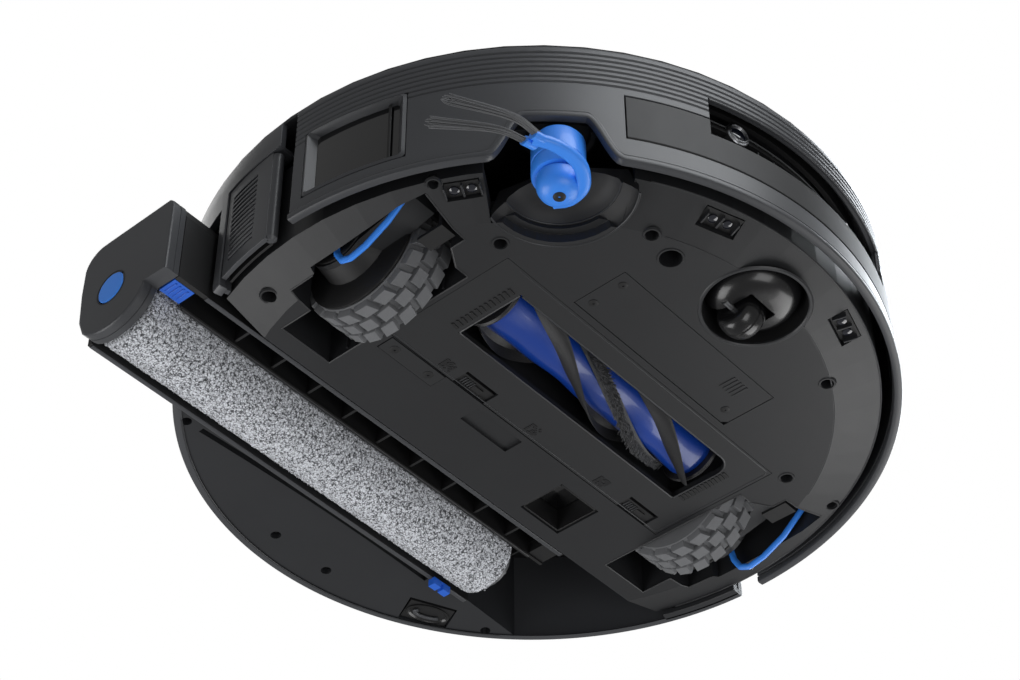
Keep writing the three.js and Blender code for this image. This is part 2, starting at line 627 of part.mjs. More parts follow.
// ---- inside -------------------------------------------------------------
const battery = () => box(-56, 53, -100.6, -72.6, PLATE_Z + 4.5, 56).add(box(-10, 14, -103, -90, 40, 52));
const batteryCover = () => prism([[-57.6, -101.6], [54.1, -101.6], [54.1, -75], [51.6, -72.4], [-57.6, -72.4]], PLATE_Z + 0.1, PLATE_Z + 3.6);
const mainBoard = () =>
  join(box(-56, 52, -104, -70, 62, 63.6), box(-30, -10, -100, -84, 63, 65.6), box(12, 26, -100, -88, 63, 65), box(34, 50, -102, -96, 63, 67));
const fanHousing = () =>
  cut(
    join(cylZ(86, -97, 25, PLATE_Z + FLOOR_T + 7, 56, 36), box(62, 74, -94, -76, 32, 48)),
    cylZ(86, -97, 22.4, PLATE_Z + FLOOR_T + 10, 50, 36),
    cylZ(86, -97, 11, 48, 64, 24),
    box(58, 80, -91, -79, 35, 45),
  );
function fanImpeller() {
  let fan = join(cylZ(86, -97, 19, 26.5, 28.4, 32), cylZ(86, -97, 6, 26.5, 44, 18));
  for (let i = 0; i < 9; i++) {
    const g = new THREE.BoxGeometry(13.4, 1.4, 11.2);
    g.translate(11.6, 0, 33.6).rotateZ(rad(i * 40));
    fan = fan.add(solid(g.translate(86, -97, 0)));
  }
  return fan;
}
const dustBin = () =>
  cut(box(-58, 58, -58, 22, DECK_Z - 1.6, 89), box(-55.6, 55.6, -55.6, 19.6, DECK_Z + 0.8, 94), box(-28, 36, -50, -18, 60, 74));
const binFilter = () => box(-40, 40, 13, 19.2, DECK_Z + 3, 86.6);
const waterTank = () =>
  cut(box(-50, 50, 64, 114, DECK_Z + 0.4, 89), box(-47.6, 47.6, 66.4, 111.6, DECK_Z + 2.8, 86.6), cylZ(30, 90, 5, 82, 95, 18));
const pump = () => join(cylY(-88, 79, 7, 70, 96, 20), box(-96, -80, 76, 90, DECK_Z + 2.9, 75));

// ---- assembly -----------------------------------------------------------
put("chassis", chassis(), PLASTIC);
put("rear_underbody", rearUnderbody(), PLASTIC);
put("upper_shell", upperShell(), SATIN);
put("top_cover", topCover(), SATIN);
put("power_button", join(cylZ(0, -120, 11.4, RIM_Z + 2.3, RIM_Z + 4.4, 32), cylZ(0, -120, 5, RIM_Z - 2, RIM_Z + 3, 16)), GLOSS);
put("vent_panel", ventPanel(), SATIN);
put("bumper", bumper(), SATIN);
put("bumper_lip", bumperLip(), SATIN);
put("sensor_window", sensorWindow(), GLOSS);
put("sensor_module", sensorModule(), PLASTIC);
put("lens_right", lens(-103.5), SMOKE);
put("lens_left", lens(-76.5), SMOKE);
put("side_window", sector(BUMPER_R - 5, BUMPER_R - 2.6, -175.8, -158.6, 27.7, 70.3), GLOSS);
put("rear_latch", turnedBox(78, 142, -24, 25, 15, 16.6, 19.6).add(turnedBox(78, 142, -24, 19, 9, 19, 25)), GLOSS);
put("brush_cover", brushCover(), PLASTIC);
put("cover_latch_right", coverLatch(-54.6, -33), PLASTIC);
put("cover_latch_left", coverLatch(67.8, 89.4), PLASTIC);
put("hinge_plate", box(-95, -59, 5.8, 15, PLATE_Z - 0.3, PLATE_Z + 1.3), PLASTIC);
put("brush_core", brushCore(), BLUE);
put("brush_blades", brushBlades(), RUBBER);
put("brush_strip", brushStrip(), FABRIC);
put("brush_motor", brushMotor(), METAL);
put("side_brush_motor", sideMotor(), BLUE);
put("side_brush_hub", sideHub(), BLUE);
put("side_brush_tuft_a", tuft(-3, 8.6, -191), RUBBER);
put("side_brush_tuft_b", tuft(2.6, 7.6, -187), RUBBER);
put("caster_fork", casterFork(), GLOSS);
put("caster_wheel", casterWheel(), GLOSS);
put("caster_axle", casterAxle(), METAL);
for (const [name, side] of [["right", -1], ["left", 1]]) {
  put(`wheel_tyre_${name}`, wheelTyre(side), TYRE);
  put(`wheel_hub_${name}`, wheelHub(side), PLASTIC);
  put(`wheel_arm_${name}`, wheelArm(side), PLASTIC);
  put(`wheel_bracket_${name}`, wheelBracket(side), METAL);
  put(`wheel_cable_${name}`, wheelCable(side), BLUE);
}
put("mop_housing", mopHousing(), PLASTIC);
put("mop_end_cap", mopEndCap(), PLASTIC);
put("mop_button", mopButton(), BLUE);
put("mop_latch", mopLatch(), BLUE);
put("mop_clip", mopClip(), BLUE);
put("roller_core", rollerCore(), PLASTIC);
put("roller_sleeve", rollerSleeve(), FABRIC);
SENSOR_SEATS.forEach(([x, y, t, w, d], i) =>
  put(`cliff_sensor_${i + 1}`, turnedBox(x, y, t, w - 0.8, d - 0.8, 16.8, 21.6), SMOKE),
);
put("battery_pack", battery(), PLASTIC);
put("battery_cover", batteryCover(), PLASTIC);
put("main_board", mainBoard(), BOARD);
put("fan_housing", fanHousing(), PLASTIC);
put("fan_impeller", fanImpeller(), PLASTIC);
put("dust_bin", dustBin(), SMOKE);
put("bin_filter", binFilter(), FABRIC);
put("water_tank", waterTank(), SMOKE);
put("water_pump", pump(), PLASTIC);

export default group;
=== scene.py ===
"""Looks of a round robot vacuum with a slide-out roller mop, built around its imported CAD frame."""

import logging
import math
import random
from dataclasses import dataclass, field
from enum import Enum
from typing import Callable, Iterable, Optional, Sequence, Union

import bmesh
import bpy
from mathutils import Matrix, Vector, noise


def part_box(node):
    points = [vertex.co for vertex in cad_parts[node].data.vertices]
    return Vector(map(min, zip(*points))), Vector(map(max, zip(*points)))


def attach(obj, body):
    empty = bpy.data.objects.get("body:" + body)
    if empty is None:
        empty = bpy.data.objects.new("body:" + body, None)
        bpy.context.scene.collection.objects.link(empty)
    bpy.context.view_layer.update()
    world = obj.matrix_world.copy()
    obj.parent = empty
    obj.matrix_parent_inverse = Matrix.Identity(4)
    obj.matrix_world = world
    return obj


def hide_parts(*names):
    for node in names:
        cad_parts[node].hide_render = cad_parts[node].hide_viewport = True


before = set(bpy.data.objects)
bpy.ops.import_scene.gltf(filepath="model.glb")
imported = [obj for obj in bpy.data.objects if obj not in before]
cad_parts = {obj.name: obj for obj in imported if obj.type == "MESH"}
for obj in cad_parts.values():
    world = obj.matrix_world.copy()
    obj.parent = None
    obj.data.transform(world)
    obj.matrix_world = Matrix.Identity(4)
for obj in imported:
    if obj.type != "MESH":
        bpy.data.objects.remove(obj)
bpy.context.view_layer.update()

log = logging.getLogger("robot")

Point = tuple[float, float, float]
Number = Union[float, "Value"]
MM = 0.001

RIGHT = Vector((1, 0, 0))
UP = Vector((0, 0, 1))
DOWN = Vector((0, 0, -1))

PLATE_EDGE = 143.0
PLATE_SLOPE = 0.3
FIBRE_COUNT = 1500

COVER_LO, COVER_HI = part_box("top_cover")
DISC_X = (COVER_LO.x + COVER_HI.x) / 2
DISC_Y = (COVER_LO.y + COVER_HI.y) / 2


def place(point: Sequence[float]) -> Vector:
    """A point in millimetres from the body circle's centre, as metres in the row frame."""
    return Vector((DISC_X + point[0] * MM, DISC_Y + point[1] * MM, point[2] * MM))


def span(node: str) -> tuple[float, float, float, float, float, float]:
    """A CAD node's box in millimetres from the body circle's centre: x0, x1, y0, y1, z0, z1."""
    lo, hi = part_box(node)
    return (
        (lo.x - DISC_X) / MM, (hi.x - DISC_X) / MM, (lo.y - DISC_Y) / MM,
        (hi.y - DISC_Y) / MM, lo.z / MM, hi.z / MM,
    )


def polar(radius: float, degrees: float, z: float) -> Point:
    """The point at a radius and angle of the body circle."""
    a = math.radians(degrees)
    return (radius * math.cos(a), radius * math.sin(a), z)


def steps(start: float, end: float, count: int) -> list[float]:
    """count + 1 even values from start to end."""
    return [start + (end - start) * i / count for i in range(count + 1)]


def plan(radius: float, start: float, end: float, count: int) -> list[tuple[float, float]]:
    """Points in plan on the body circle, from one angle to another."""
    return [polar(radius, a, 0)[:2] for a in steps(start, end, count)]


def arc(
    x: float, y: float, radius: float, angles: Sequence[float], *rest: float
) -> list[tuple[float, ...]]:
    """Points round a centre at angles in degrees, each with the rest of its coordinates."""
    return [
        (x + radius * math.cos(a), y + radius * math.sin(a), *rest)
        for a in (math.radians(angle) for angle in angles)
    ]


def turns(count: int) -> list[tuple[float, float]]:
    """The cosine and sine of even turns round a circle."""
    return [(math.cos(math.tau * i / count), math.sin(math.tau * i / count)) for i in range(count)]


def between(
    corners: Sequence[Sequence[float]], start: float, end: float, count: int
) -> list[tuple[float, ...]]:
    """Points along each straight run between corners, from one share of it to another."""
    line = []
    for a, b in zip(corners, corners[1:]):
        line += [tuple(p + (q - p) * t for p, q in zip(a, b)) for t in steps(start, end, count)]
    return line


def plate_rise(x: float, y: float) -> float:
    """How far the plate has turned up at a point outside its flat, in millimetres."""
    return max(0.0, math.hypot(x, y) - PLATE_EDGE) * PLATE_SLOPE


def ease(t: float) -> float:
    """A smooth step from 0 to 1."""
    t = min(1.0, max(0.0, t))
    return t * t * (3 - 2 * t)


# ---- shader graphs -------------------------------------------------------
class Value:
    """A number that varies over a surface, used in plain arithmetic."""

    def __init__(self, graph: "Graph", socket: bpy.types.NodeSocket) -> None:
        """Wraps an output socket of a graph."""
        self.graph = graph
        self.socket = socket

    def _math(self, operation: str, first: Number, second: Number) -> "Value":
        """One Math node on two numbers or values."""
        node = self.graph.node("ShaderNodeMath", {"operation": operation}, {0: first, 1: second})
        return Value(self.graph, node.outputs[0])

    def __add__(self, other: Number) -> "Value":
        """self + other."""
        return self._math("ADD", self, other)

    def __sub__(self, other: Number) -> "Value":
        """self - other."""
        return self._math("SUBTRACT", self, other)

    def __rsub__(self, other: Number) -> "Value":
        """other - self."""
        return self._math("SUBTRACT", other, self)

    def __mul__(self, other: Number) -> "Value":
        """self * other."""
        return self._math("MULTIPLY", self, other)

    def __truediv__(self, other: Number) -> "Value":
        """self / other."""
        return self._math("DIVIDE", self, other)

    def __pow__(self, other: Number) -> "Value":
        """self ** other."""
        return self._math("POWER", self, other)

    def above(self, limit: float, soft: float = 0.05) -> "Value":
        """0 below limit, 1 above it, with a soft edge."""
        node = self.graph.node(
            "ShaderNodeMapRange", {"interpolation_type": "SMOOTHSTEP"},
            {"Value": self, "From Min": limit - soft, "From Max": limit + soft},
        )
        return Value(self.graph, node.outputs["Result"])

    __radd__ = __add__
    __rmul__ = __mul__


class Graph:
    """One material's node tree, from its texture space to its shader."""

    def __init__(self, name: str) -> None:
        """Starts a material with an empty principled shader."""
        self.material = bpy.data.materials.new(name)
        self.material.use_nodes = True
        self.tree = self.material.node_tree
        self.shader = self.tree.nodes["Principled BSDF"]
        self.space = self.node("ShaderNodeTexCoord").outputs["Object"]

    def node(
        self, kind: str, settings: Optional[dict] = None, inputs: Optional[dict] = None
    ) -> bpy.types.Node:
        """Adds a node.

        Args:
            kind: the node's type name.
            settings: its properties; "stops" sets a ramp's stops as (position, colour).
            inputs: its sockets' numbers, colours, values or links.

        Returns:
            The node.
        """
        made = self.tree.nodes.new(kind)
        for key, value in (settings or {}).items():
            if key == "stops":
                while len(made.color_ramp.elements) < len(value):
                    made.color_ramp.elements.new(0.5)
                for element, (position, color) in zip(made.color_ramp.elements, value):
                    element.position = position
                    element.color = (*color, 1.0)
            else:
                setattr(made, key, value)
        for key, value in (inputs or {}).items():
            self.feed(made.inputs[key], value)
        return made

    def feed(self, socket: bpy.types.NodeSocket, value: object) -> None:
        """Links or sets one input socket."""
        if isinstance(value, Value):
            self.tree.links.new(value.socket, socket)
        elif isinstance(value, bpy.types.NodeSocket):
            self.tree.links.new(value, socket)
        elif isinstance(value, tuple) and len(value) == 3 and socket.type == "RGBA":
            socket.default_value = (*value, 1.0)
        else:
            socket.default_value = value

    def noise(self, scale: float, detail: float = 3.0, rough: float = 0.55, space: object = None) -> Value:
        """Fractal noise; scale is features per metre."""
        made = self.node(
            "ShaderNodeTexNoise", {},
            {"Vector": space or self.space, "Scale": scale, "Detail": detail, "Roughness": rough},
        )
        return Value(self, made.outputs["Fac"])

    def cells(self, scale: float, feature: str = "F1", space: object = None) -> Value:
        """Distance to the nearest cell centre; scale is cells per metre."""
        made = self.node(
            "ShaderNodeTexVoronoi", {"feature": feature}, {"Vector": space or self.space, "Scale": scale},
        )
        return Value(self, made.outputs["Distance"])

    def stretched(self, x: float, y: float, z: float) -> bpy.types.NodeSocket:
        """The texture space scaled along its axes."""
        made = self.node("ShaderNodeMapping", {}, {"Vector": self.space, "Scale": Vector((x, y, z))})
        return made.outputs["Vector"]

    def ramp(self, value: Value, *stops: tuple[float, Point]) -> bpy.types.NodeSocket:
        """A colour ramp over a value."""
        return self.node("ShaderNodeValToRGB", {"stops": stops}, {"Fac": value}).outputs["Color"]

    def blend(self, factor: Number, first: object, second: object) -> bpy.types.NodeSocket:
        """A mix of two colours."""
        made = self.node("ShaderNodeMix", {"data_type": "RGBA"}, {0: factor, 6: first, 7: second})
        return made.outputs[2]

    def bump(self, height: Value, distance: float, strength: float = 1.0) -> None:
        """Feeds a bump of that height in metres to the shader's normal."""
        made = self.node(
            "ShaderNodeBump", {}, {"Height": height, "Distance": distance, "Strength": strength},
        )
        self.tree.links.new(made.outputs["Normal"], self.shader.inputs["Normal"])

    def set(self, **sockets: object) -> None:
        """Sets or links shader sockets by name, with _ for a space."""
        for name, value in sockets.items():
            self.feed(self.shader.inputs[name.replace("_", " ")], value)


# ---- finishes ------------------------------------------------------------
@dataclass(frozen=True)
class Moulded:
    """Moulded plastic with a fine spark-eroded grain and faint handling marks."""

    name: str
    color: Point
    roughness: float
    grain: float = 1500.0
    depth: float = 0.00003
    vary: float = 0.12
    coat: float = 0.0
    marks: float = 0.08

    def make(self) -> bpy.types.Material:
        """Builds the material."""
        g = Graph(self.name)
        cloud = g.noise(14.0, 4.0)
        grain = g.noise(self.grain, 2.0, 0.6)
        fine = g.cells(self.grain * 0.8)
        dark = tuple(c * (1 - self.vary) for c in self.color)
        light = tuple(min(1.0, c * (1 + self.vary)) for c in self.color)
        g.set(Base_Color=g.ramp(cloud * 0.7 + grain * 0.3, (0.3, dark), (0.7, light)))
        scuff = g.noise(55.0, 6.0, 0.7, g.stretched(1.0, 3.0, 1.0))
        g.set(Roughness=self.roughness + (scuff - 0.5) * self.marks + (grain - 0.5) * 0.05)
        g.set(Coat_Weight=self.coat, Coat_Roughness=0.08, IOR=1.47)
        g.bump(grain * 0.6 + fine * 0.4, self.depth)
        return g.material


@dataclass(frozen=True)
class Polished:
    """Polished plastic or a smoked window, with faint dust and swirl marks."""

    name: str
    color: Point
    roughness: float = 0.05
    coat: float = 0.6
    dust: float = 0.05
    ior: float = 1.5

    def make(self) -> bpy.types.Material:
        """Builds the material."""
        g = Graph(self.name)
        specks = g.cells(900.0).above(0.06, 0.03)
        cloud = g.noise(22.0, 5.0)
        soft = tuple(min(1.0, c * 1.25 + 0.002) for c in self.color)
        g.set(Base_Color=g.blend(cloud, self.color, soft))
        swirl = g.noise(210.0, 4.0, 0.7, g.stretched(1.0, 0.25, 1.0))
        g.set(Roughness=self.roughness + swirl * self.dust + (1 - specks) * 0.1)
        g.set(Coat_Weight=self.coat, Coat_Roughness=0.03, IOR=self.ior)
        g.bump(g.noise(38.0, 2.0), 0.00004)
        return g.material


@dataclass(frozen=True)
class Rubber:
    """Dull moulded rubber with a dusty bloom on what stands out."""

    name: str
    color: Point
    bloom: Point
    roughness: float = 0.8

    def make(self) -> bpy.types.Material:
        """Builds the material."""
        g = Graph(self.name)
        dust = g.noise(120.0, 6.0, 0.65)
        pores = g.cells(2600.0)
        edge = Value(g, g.node("ShaderNodeNewGeometry").outputs["Pointiness"]).above(0.52, 0.05)
        g.set(Base_Color=g.blend(dust * 0.5 + edge * 0.35, self.color, self.bloom))
        g.set(Roughness=self.roughness + (dust - 0.5) * 0.18, Sheen_Weight=0.03, Sheen_Roughness=0.5)
        g.bump(pores * 0.5 + dust * 0.5, 0.00012)
        return g.material


@dataclass(frozen=True)
class Terry:
    """Short looped microfibre in mixed greys, with painted shade in the gaps between the tufts and lighter
    tuft middles.
    """

    name: str
    dark: Point
    mid: Point
    light: Point
    scale: float = 780.0

    def make(self) -> bpy.types.Material:
        """Builds the material."""
        g = Graph(self.name)
        tufts = g.cells(self.scale, "DISTANCE_TO_EDGE")
        fleck = g.noise(self.scale * 0.9, 1.0, 0.5)
        fibre = g.noise(self.scale * 4.0, 3.0, 0.7)
        # colour darkens towards each tuft's edge: painted shade in the gaps and lighter tuft middles, mixed
        # with the real grey flecks
        tuft_shade_and_fleck = tufts * 1.1 + (fleck - 0.5) * 0.9 + fibre * 0.2
        color = g.ramp(tuft_shade_and_fleck, (0.06, self.dark), (0.24, self.mid), (0.42, self.light))
        g.set(Base_Color=color, Roughness=0.88 + (fibre - 0.5) * 0.1)
        g.set(Sheen_Weight=0.25, Sheen_Roughness=0.45)
        g.bump(tufts * 0.8 + fibre * 0.3, 0.0007)
        return g.material


@dataclass(frozen=True)
class Metal:
    """Plated steel with fine turning lines."""

    name: str
    color: Point = (0.55, 0.56, 0.58)
    roughness: float = 0.3

    def make(self) -> bpy.types.Material:
        """Builds the material."""
        g = Graph(self.name)
        lines = g.noise(900.0, 3.0, 0.6, g.stretched(1.0, 1.0, 6.0))
        stain = g.noise(60.0, 5.0, 0.6)
        worn = tuple(c * 0.72 for c in self.color)
        g.set(Base_Color=g.blend(stain, worn, self.color), Metallic=1.0)
        g.set(Roughness=self.roughness + (lines - 0.5) * 0.2)
        g.bump(lines, 0.00002)
        return g.material


@dataclass(frozen=True)
class Fibres:
    """A bundle of stiff bristles or pleated paper, streaked along its length."""

    name: str
    dark: Point
    light: Point
    streak: Point = (1.0, 6.0, 6.0)

    def make(self) -> bpy.types.Material:
        """Builds the material."""
        g = Graph(self.name)
        strand = g.noise(1400.0, 4.0, 0.7, g.stretched(*self.streak))
        clump = g.noise(160.0, 3.0)
        g.set(Base_Color=g.blend(strand * 0.7 + clump * 0.3, self.dark, self.light))
        g.set(Roughness=0.75 + (clump - 0.5) * 0.2, Sheen_Weight=0.2)
        g.bump(strand, 0.0003)
        return g.material


@dataclass(frozen=True)
class CircuitBoard:
    """Green solder mask with copper tracks below it."""

    name: str

    def make(self) -> bpy.types.Material:
        """Builds the material."""
        g = Graph(self.name)
        tracks = g.noise(260.0, 1.0, 0.5, g.stretched(1.0, 4.0, 1.0)).above(0.54, 0.01)
        pads = 1 - g.cells(240.0).above(0.16, 0.02)
        mask = g.blend(tracks, (0.008, 0.075, 0.03), (0.02, 0.14, 0.06))
        g.set(Base_Color=g.blend(pads, mask, (0.55, 0.5, 0.38)), Roughness=0.3 + tracks * 0.1)
        g.bump(tracks + pads, 0.00004)
        return g.material


class Finish(Enum):
    """Every finish on the robot."""

    PLATE = Moulded("plate_plastic", (0.0150, 0.0156, 0.0172), 0.46)
    RIM = Moulded("rim_plastic", (0.021, 0.022, 0.0245), 0.4)
    COVER = Moulded("cover_plastic", (0.0150, 0.0156, 0.0170), 0.5, vary=0.08)
    SHELL = Moulded("shell_plastic", (0.050, 0.052, 0.057), 0.38, grain=2200.0, depth=0.000012, marks=0.06)
    DARK = Moulded("inner_plastic", (0.0065, 0.0065, 0.007), 0.55)
    TOP = Moulded("top_plastic", (0.03, 0.031, 0.034), 0.36, grain=1900.0, depth=0.00002)
    BEZEL = Moulded("bezel_plastic", (0.10, 0.103, 0.108), 0.3, grain=2400.0, depth=0.00001)
    GLOSS = Polished("gloss_black", (0.0032, 0.0032, 0.0036))
    CASTER = Polished("caster_black", (0.004, 0.004, 0.0045), 0.24, 0.25)
    BAND = Moulded("band_black", (0.003, 0.003, 0.0035), 0.55, grain=2400.0, depth=0.000006)
    LENS = Polished("lens_glass", (0.005, 0.006, 0.012), 0.02, 1.0, 0.01)
    SMOKE = Polished("smoked_tank", (0.03, 0.032, 0.036), 0.12, 0.4)
    BLUE = Polished("accent_blue", (0.012, 0.10, 0.52), 0.3, 0.2, 0.1)
    BRIGHT = Polished("pressed_blue", (0.036, 0.23, 0.84), 0.34, 0.1, 0.1)
    # the brush core's blue is a darker copy of the blue plastic: painted shade over the core
    CORE = Polished("brush_core_blue_shaded", (0.0018, 0.032, 0.23), 0.26, 0.4, 0.08)
    TYRE = Rubber("tyre_rubber", (0.085, 0.087, 0.092), (0.17, 0.174, 0.182))
    FIN = Rubber("fin_rubber", (0.004, 0.004, 0.0045), (0.014, 0.014, 0.016), 0.42)
    # terry: the dark stop is painted shade in the gaps between tufts, the light stop the lighter tuft middles
    TERRY = Terry("terry_loops", (0.05, 0.052, 0.058), (0.47, 0.485, 0.52), (0.74, 0.76, 0.81))
    BRISTLE = Fibres("bristle_grey", (0.02, 0.02, 0.022), (0.11, 0.113, 0.12))
    TUFT = Fibres("tuft_grey", (0.025, 0.026, 0.028), (0.16, 0.165, 0.175))
    PAPER = Fibres("filter_paper", (0.5, 0.5, 0.46), (0.8, 0.79, 0.74), (6.0, 1.0, 0.3))
    STEEL = Metal("plated_steel")
    MARK = Moulded("mark_black", (0.005, 0.005, 0.006), 0.6)
    BOARD = CircuitBoard("circuit_board")

    def material(self) -> bpy.types.Material:
        """The finish's material, built once."""
        return bpy.data.materials.get(self.value.name) or self.value.make()


# ---- meshes --------------------------------------------------------------
class Solid:
    """Vertices and faces of one piece, in millimetres from the body circle's centre."""

    def __init__(self) -> None:
        """Starts empty."""
        self.points: list[Point] = []
        self.faces: list[list[int]] = []

    def add(self, points: Sequence[Point], faces: Iterable[Sequence[int]]) -> "Solid":
        """Adds points and the faces between them."""
        start = len(self.points)
        self.points += [tuple(p) for p in points]
        self.faces += [[start + i for i in face] for face in faces]
        return self

    def loft(self, rings: Sequence[Sequence[Point]], closed: bool = False) -> "Solid":
        """Joins rings of equal length, capping the ends unless the loft is closed."""
        n, m = len(rings[0]), len(rings)
        faces = []
        for i in range(m if closed else m - 1):
            a, b = i * n, ((i + 1) % m) * n
            faces += [(a + j, a + (j + 1) % n, b + (j + 1) % n, b + j) for j in range(n)]
        if not closed:
            faces += [tuple(reversed(range(n))), tuple((m - 1) * n + j for j in range(n))]
        return self.add([p for ring in rings for p in ring], faces)

    def box(
        self, x0: float, x1: float, y0: float, y1: float, z0: float, z1: float, turn: float = 0.0
    ) -> "Solid":
        """A box, turned about Z round its own centre."""
        cx, cy = (x0 + x1) / 2, (y0 + y1) / 2
        c, s = math.cos(math.radians(turn)), math.sin(math.radians(turn))
        ring = [(x0 - cx, y0 - cy), (x1 - cx, y0 - cy), (x1 - cx, y1 - cy), (x0 - cx, y1 - cy)]
        flat = [(cx + x * c - y * s, cy + x * s + y * c) for x, y in ring]
        return self.loft([[(x, y, z) for x, y in flat] for z in (z0, z1)])

    def lathe(
        self, profile: Sequence[tuple[float, float]], centre: Point, axis: Vector, count: int = 48,
        ripple: Optional[Callable[[float, float], float]] = None,
    ) -> "Solid":
        """Turns a profile about an axis.

        Args:
            profile: (radius, height along the axis), from one end to the other.
            centre: a point on the axis.
            axis: its direction.
            count: divisions round it.
            ripple: a radius factor from the turn in radians and the height.

        Returns:
            This solid.
        """
        w = axis.normalized()
        u = w.orthogonal().normalized() if abs(w.x) < 0.9 else Vector((0, 1, 0))
        v = w.cross(u)
        rings = []
        for r, h in profile:
            ring = []
            for i in range(count):
                a = math.tau * i / count
                k = max(r, 1e-3) * (ripple(a, h) if ripple else 1.0)
                ring.append(tuple(Vector(centre) + w * h + (u * math.cos(a) + v * math.sin(a)) * k))
            rings.append(ring)
        return self.loft(rings)

    def prism(self, outline: Sequence[tuple[float, float]], z0: float, z1: float) -> "Solid":
        """An outline in plan, pushed up."""
        return self.loft([[(x, y, z) for x, y in outline] for z in (z0, z1)])

    def sweep(
        self, path: Sequence[Point], width: Sequence[float], height: Sequence[float], up: Point = (0, 0, 1),
        sides: int = 10, power: float = 2.0,
    ) -> "Solid":
        """A rounded section along a path, with a width and height at each point."""
        rings = []
        for i, p in enumerate(path):
            ahead = Vector(path[min(i + 1, len(path) - 1)]) - Vector(path[max(i - 1, 0)])
            along = ahead.normalized()
            side = along.cross(Vector(up)).normalized()
            top = side.cross(along)
            ring = []
            for k in range(sides):
                a = math.tau * (k + 0.5) / sides
                c, s = math.cos(a), math.sin(a)
                c = math.copysign(abs(c) ** (2 / power), c)
                s = math.copysign(abs(s) ** (2 / power), s)
                ring.append(tuple(Vector(p) + side * (c * width[i] / 2) + top * (s * height[i] / 2)))
            rings.append(ring)
        return self.loft(rings)

    def bar(
        self, path: Sequence[Point], width: float, height: float, up: Point = (0, 0, 1), sides: int = 10,
        power: float = 2.0,
    ) -> "Solid":
        """A rounded section of one size along a path."""
        count = len(path)
        return self.sweep(path, [width] * count, [height] * count, up, sides, power)

    def panel(
        self, angles: Sequence[float], rows: Callable[[float], list[tuple[float, float]]],
        keep: Callable[[float, int], bool], thick: float,
    ) -> "Solid":
        """A curved wall round the body circle with openings.

        Args:
            angles: where it is divided, in degrees.
            rows: (radius, z) of its outer face at an angle, from the bottom up.
            keep: whether the cell at a middle angle and row is solid.
            thick: its thickness.

        Returns:
            This solid.
        """
        count = len(rows(angles[0]))
        points = []
        for offset in (0.0, thick):
            for a in angles:
                points += [polar(r - offset, a, z) for r, z in rows(a)]
        inner = len(angles) * count
        solid = {
            (i, j): keep((angles[i] + angles[i + 1]) / 2, j)
            for i in range(len(angles) - 1) for j in range(count - 1)
        }
        faces = []
        for (i, j), there in solid.items():
            if not there:
                continue
            a, b, c, d = i * count + j, (i + 1) * count + j, (i + 1) * count + j + 1, i * count + j + 1
            faces += [(a, b, c, d), (d + inner, c + inner, b + inner, a + inner)]
            for (p, q), beside in (
                ((b, a), (i, j - 1)), ((c, b), (i + 1, j)), ((d, c), (i, j + 1)), ((a, d), (i - 1, j))
            ):
                if not solid.get(beside, False):
                    faces.append((p, q, q + inner, p + inner))
        used = sorted({k for face in faces for k in face})
        index = {k: n for n, k in enumerate(used)}
        return self.add([points[k] for k in used], [[index[k] for k in face] for face in faces])

    def build(
        self, name: str, finish: Finish, body: str, slot: str, stands_for: Sequence[str] = (),
        bevel: float = 0.0, smooth: float = 35.0,
    ) -> bpy.types.Object:
        """Makes the piece and rides it on a body.

        Args:
            name: the piece's name.
            finish: its finish.
            body: the CAD body it moves with.
            slot: a material slot name, not used.
            stands_for: CAD nodes that it replaces.
            bevel: width of the rounding on its edges, in millimetres.
            smooth: the angle in degrees under which faces shade as one.

        Returns:
            The object.
        """
        mesh = bpy.data.meshes.new(name)
        mesh.from_pydata([place(p) for p in self.points], [], self.faces)
        mesh.validate()
        piece = bpy.data.objects.new(name, mesh)
        bpy.context.scene.collection.objects.link(piece)
        recalculate(mesh)
        if bevel:
            add_bevel(piece, bevel)
        shade(mesh, smooth)
        mesh.materials.append(finish.material())
        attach(piece, body)
        if stands_for:
            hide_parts(*stands_for)
        log.info("%s: %d faces on %s", name, len(mesh.polygons), body)
        return piece


def recalculate(mesh: bpy.types.Mesh) -> None:
    """Turns a mesh's faces outwards."""
    edit = bmesh.new()
    edit.from_mesh(mesh)
    bmesh.ops.recalc_face_normals(edit, faces=edit.faces)
    edit.to_mesh(mesh)
    edit.free()


def shade(mesh: bpy.types.Mesh, angle: float) -> None:
    """Shades smooth but for edges sharper than an angle in degrees."""
    mesh.shade_smooth()
    mesh.set_sharp_from_angle(angle=math.radians(angle))


def add_bevel(piece: bpy.types.Object, width: float, segments: int = 2) -> None:
    """Rounds a piece's sharp edges."""
    made = piece.modifiers.new("edges", "BEVEL")
    made.width = width * MM
    made.segments = segments
    made.limit_method = "ANGLE"
    made.angle_limit = math.radians(38)
    made.harden_normals = False


def dress(node: str, finish: Finish, bevel: float = 0.0, smooth: float = 32.0) -> bpy.types.Object:
    """Finishes a carried-over CAD node."""
    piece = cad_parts[node]
    piece.data.materials.clear()
    piece.data.materials.append(finish.material())
    if bevel:
        flat = piece.modifiers.new("flat", "DECIMATE")
        flat.decimate_type = "DISSOLVE"
        flat.angle_limit = math.radians(0.6)
        add_bevel(piece, bevel)
    shade(piece.data, smooth)
    return piece


def curve(knots: Sequence[Point], count: int) -> list[Point]:
    """A smooth line through knots, with a number of points between each two."""
    ends = [Vector(knots[0]) * 2 - Vector(knots[1])] + [Vector(k) for k in knots]
    ends.append(Vector(knots[-1]) * 2 - Vector(knots[-2]))
    line = []
    for a, b, c, d in zip(ends, ends[1:], ends[2:], ends[3:]):
        for t in steps(0, 1 - 1 / count, count - 1):
            line.append(tuple(0.5 * (
                2 * b + (c - a) * t + (2 * a - 5 * b + 4 * c - d) * t * t
                + (3 * b - a - 3 * c + d) * t ** 3
            )))
    return line + [tuple(knots[-1])]


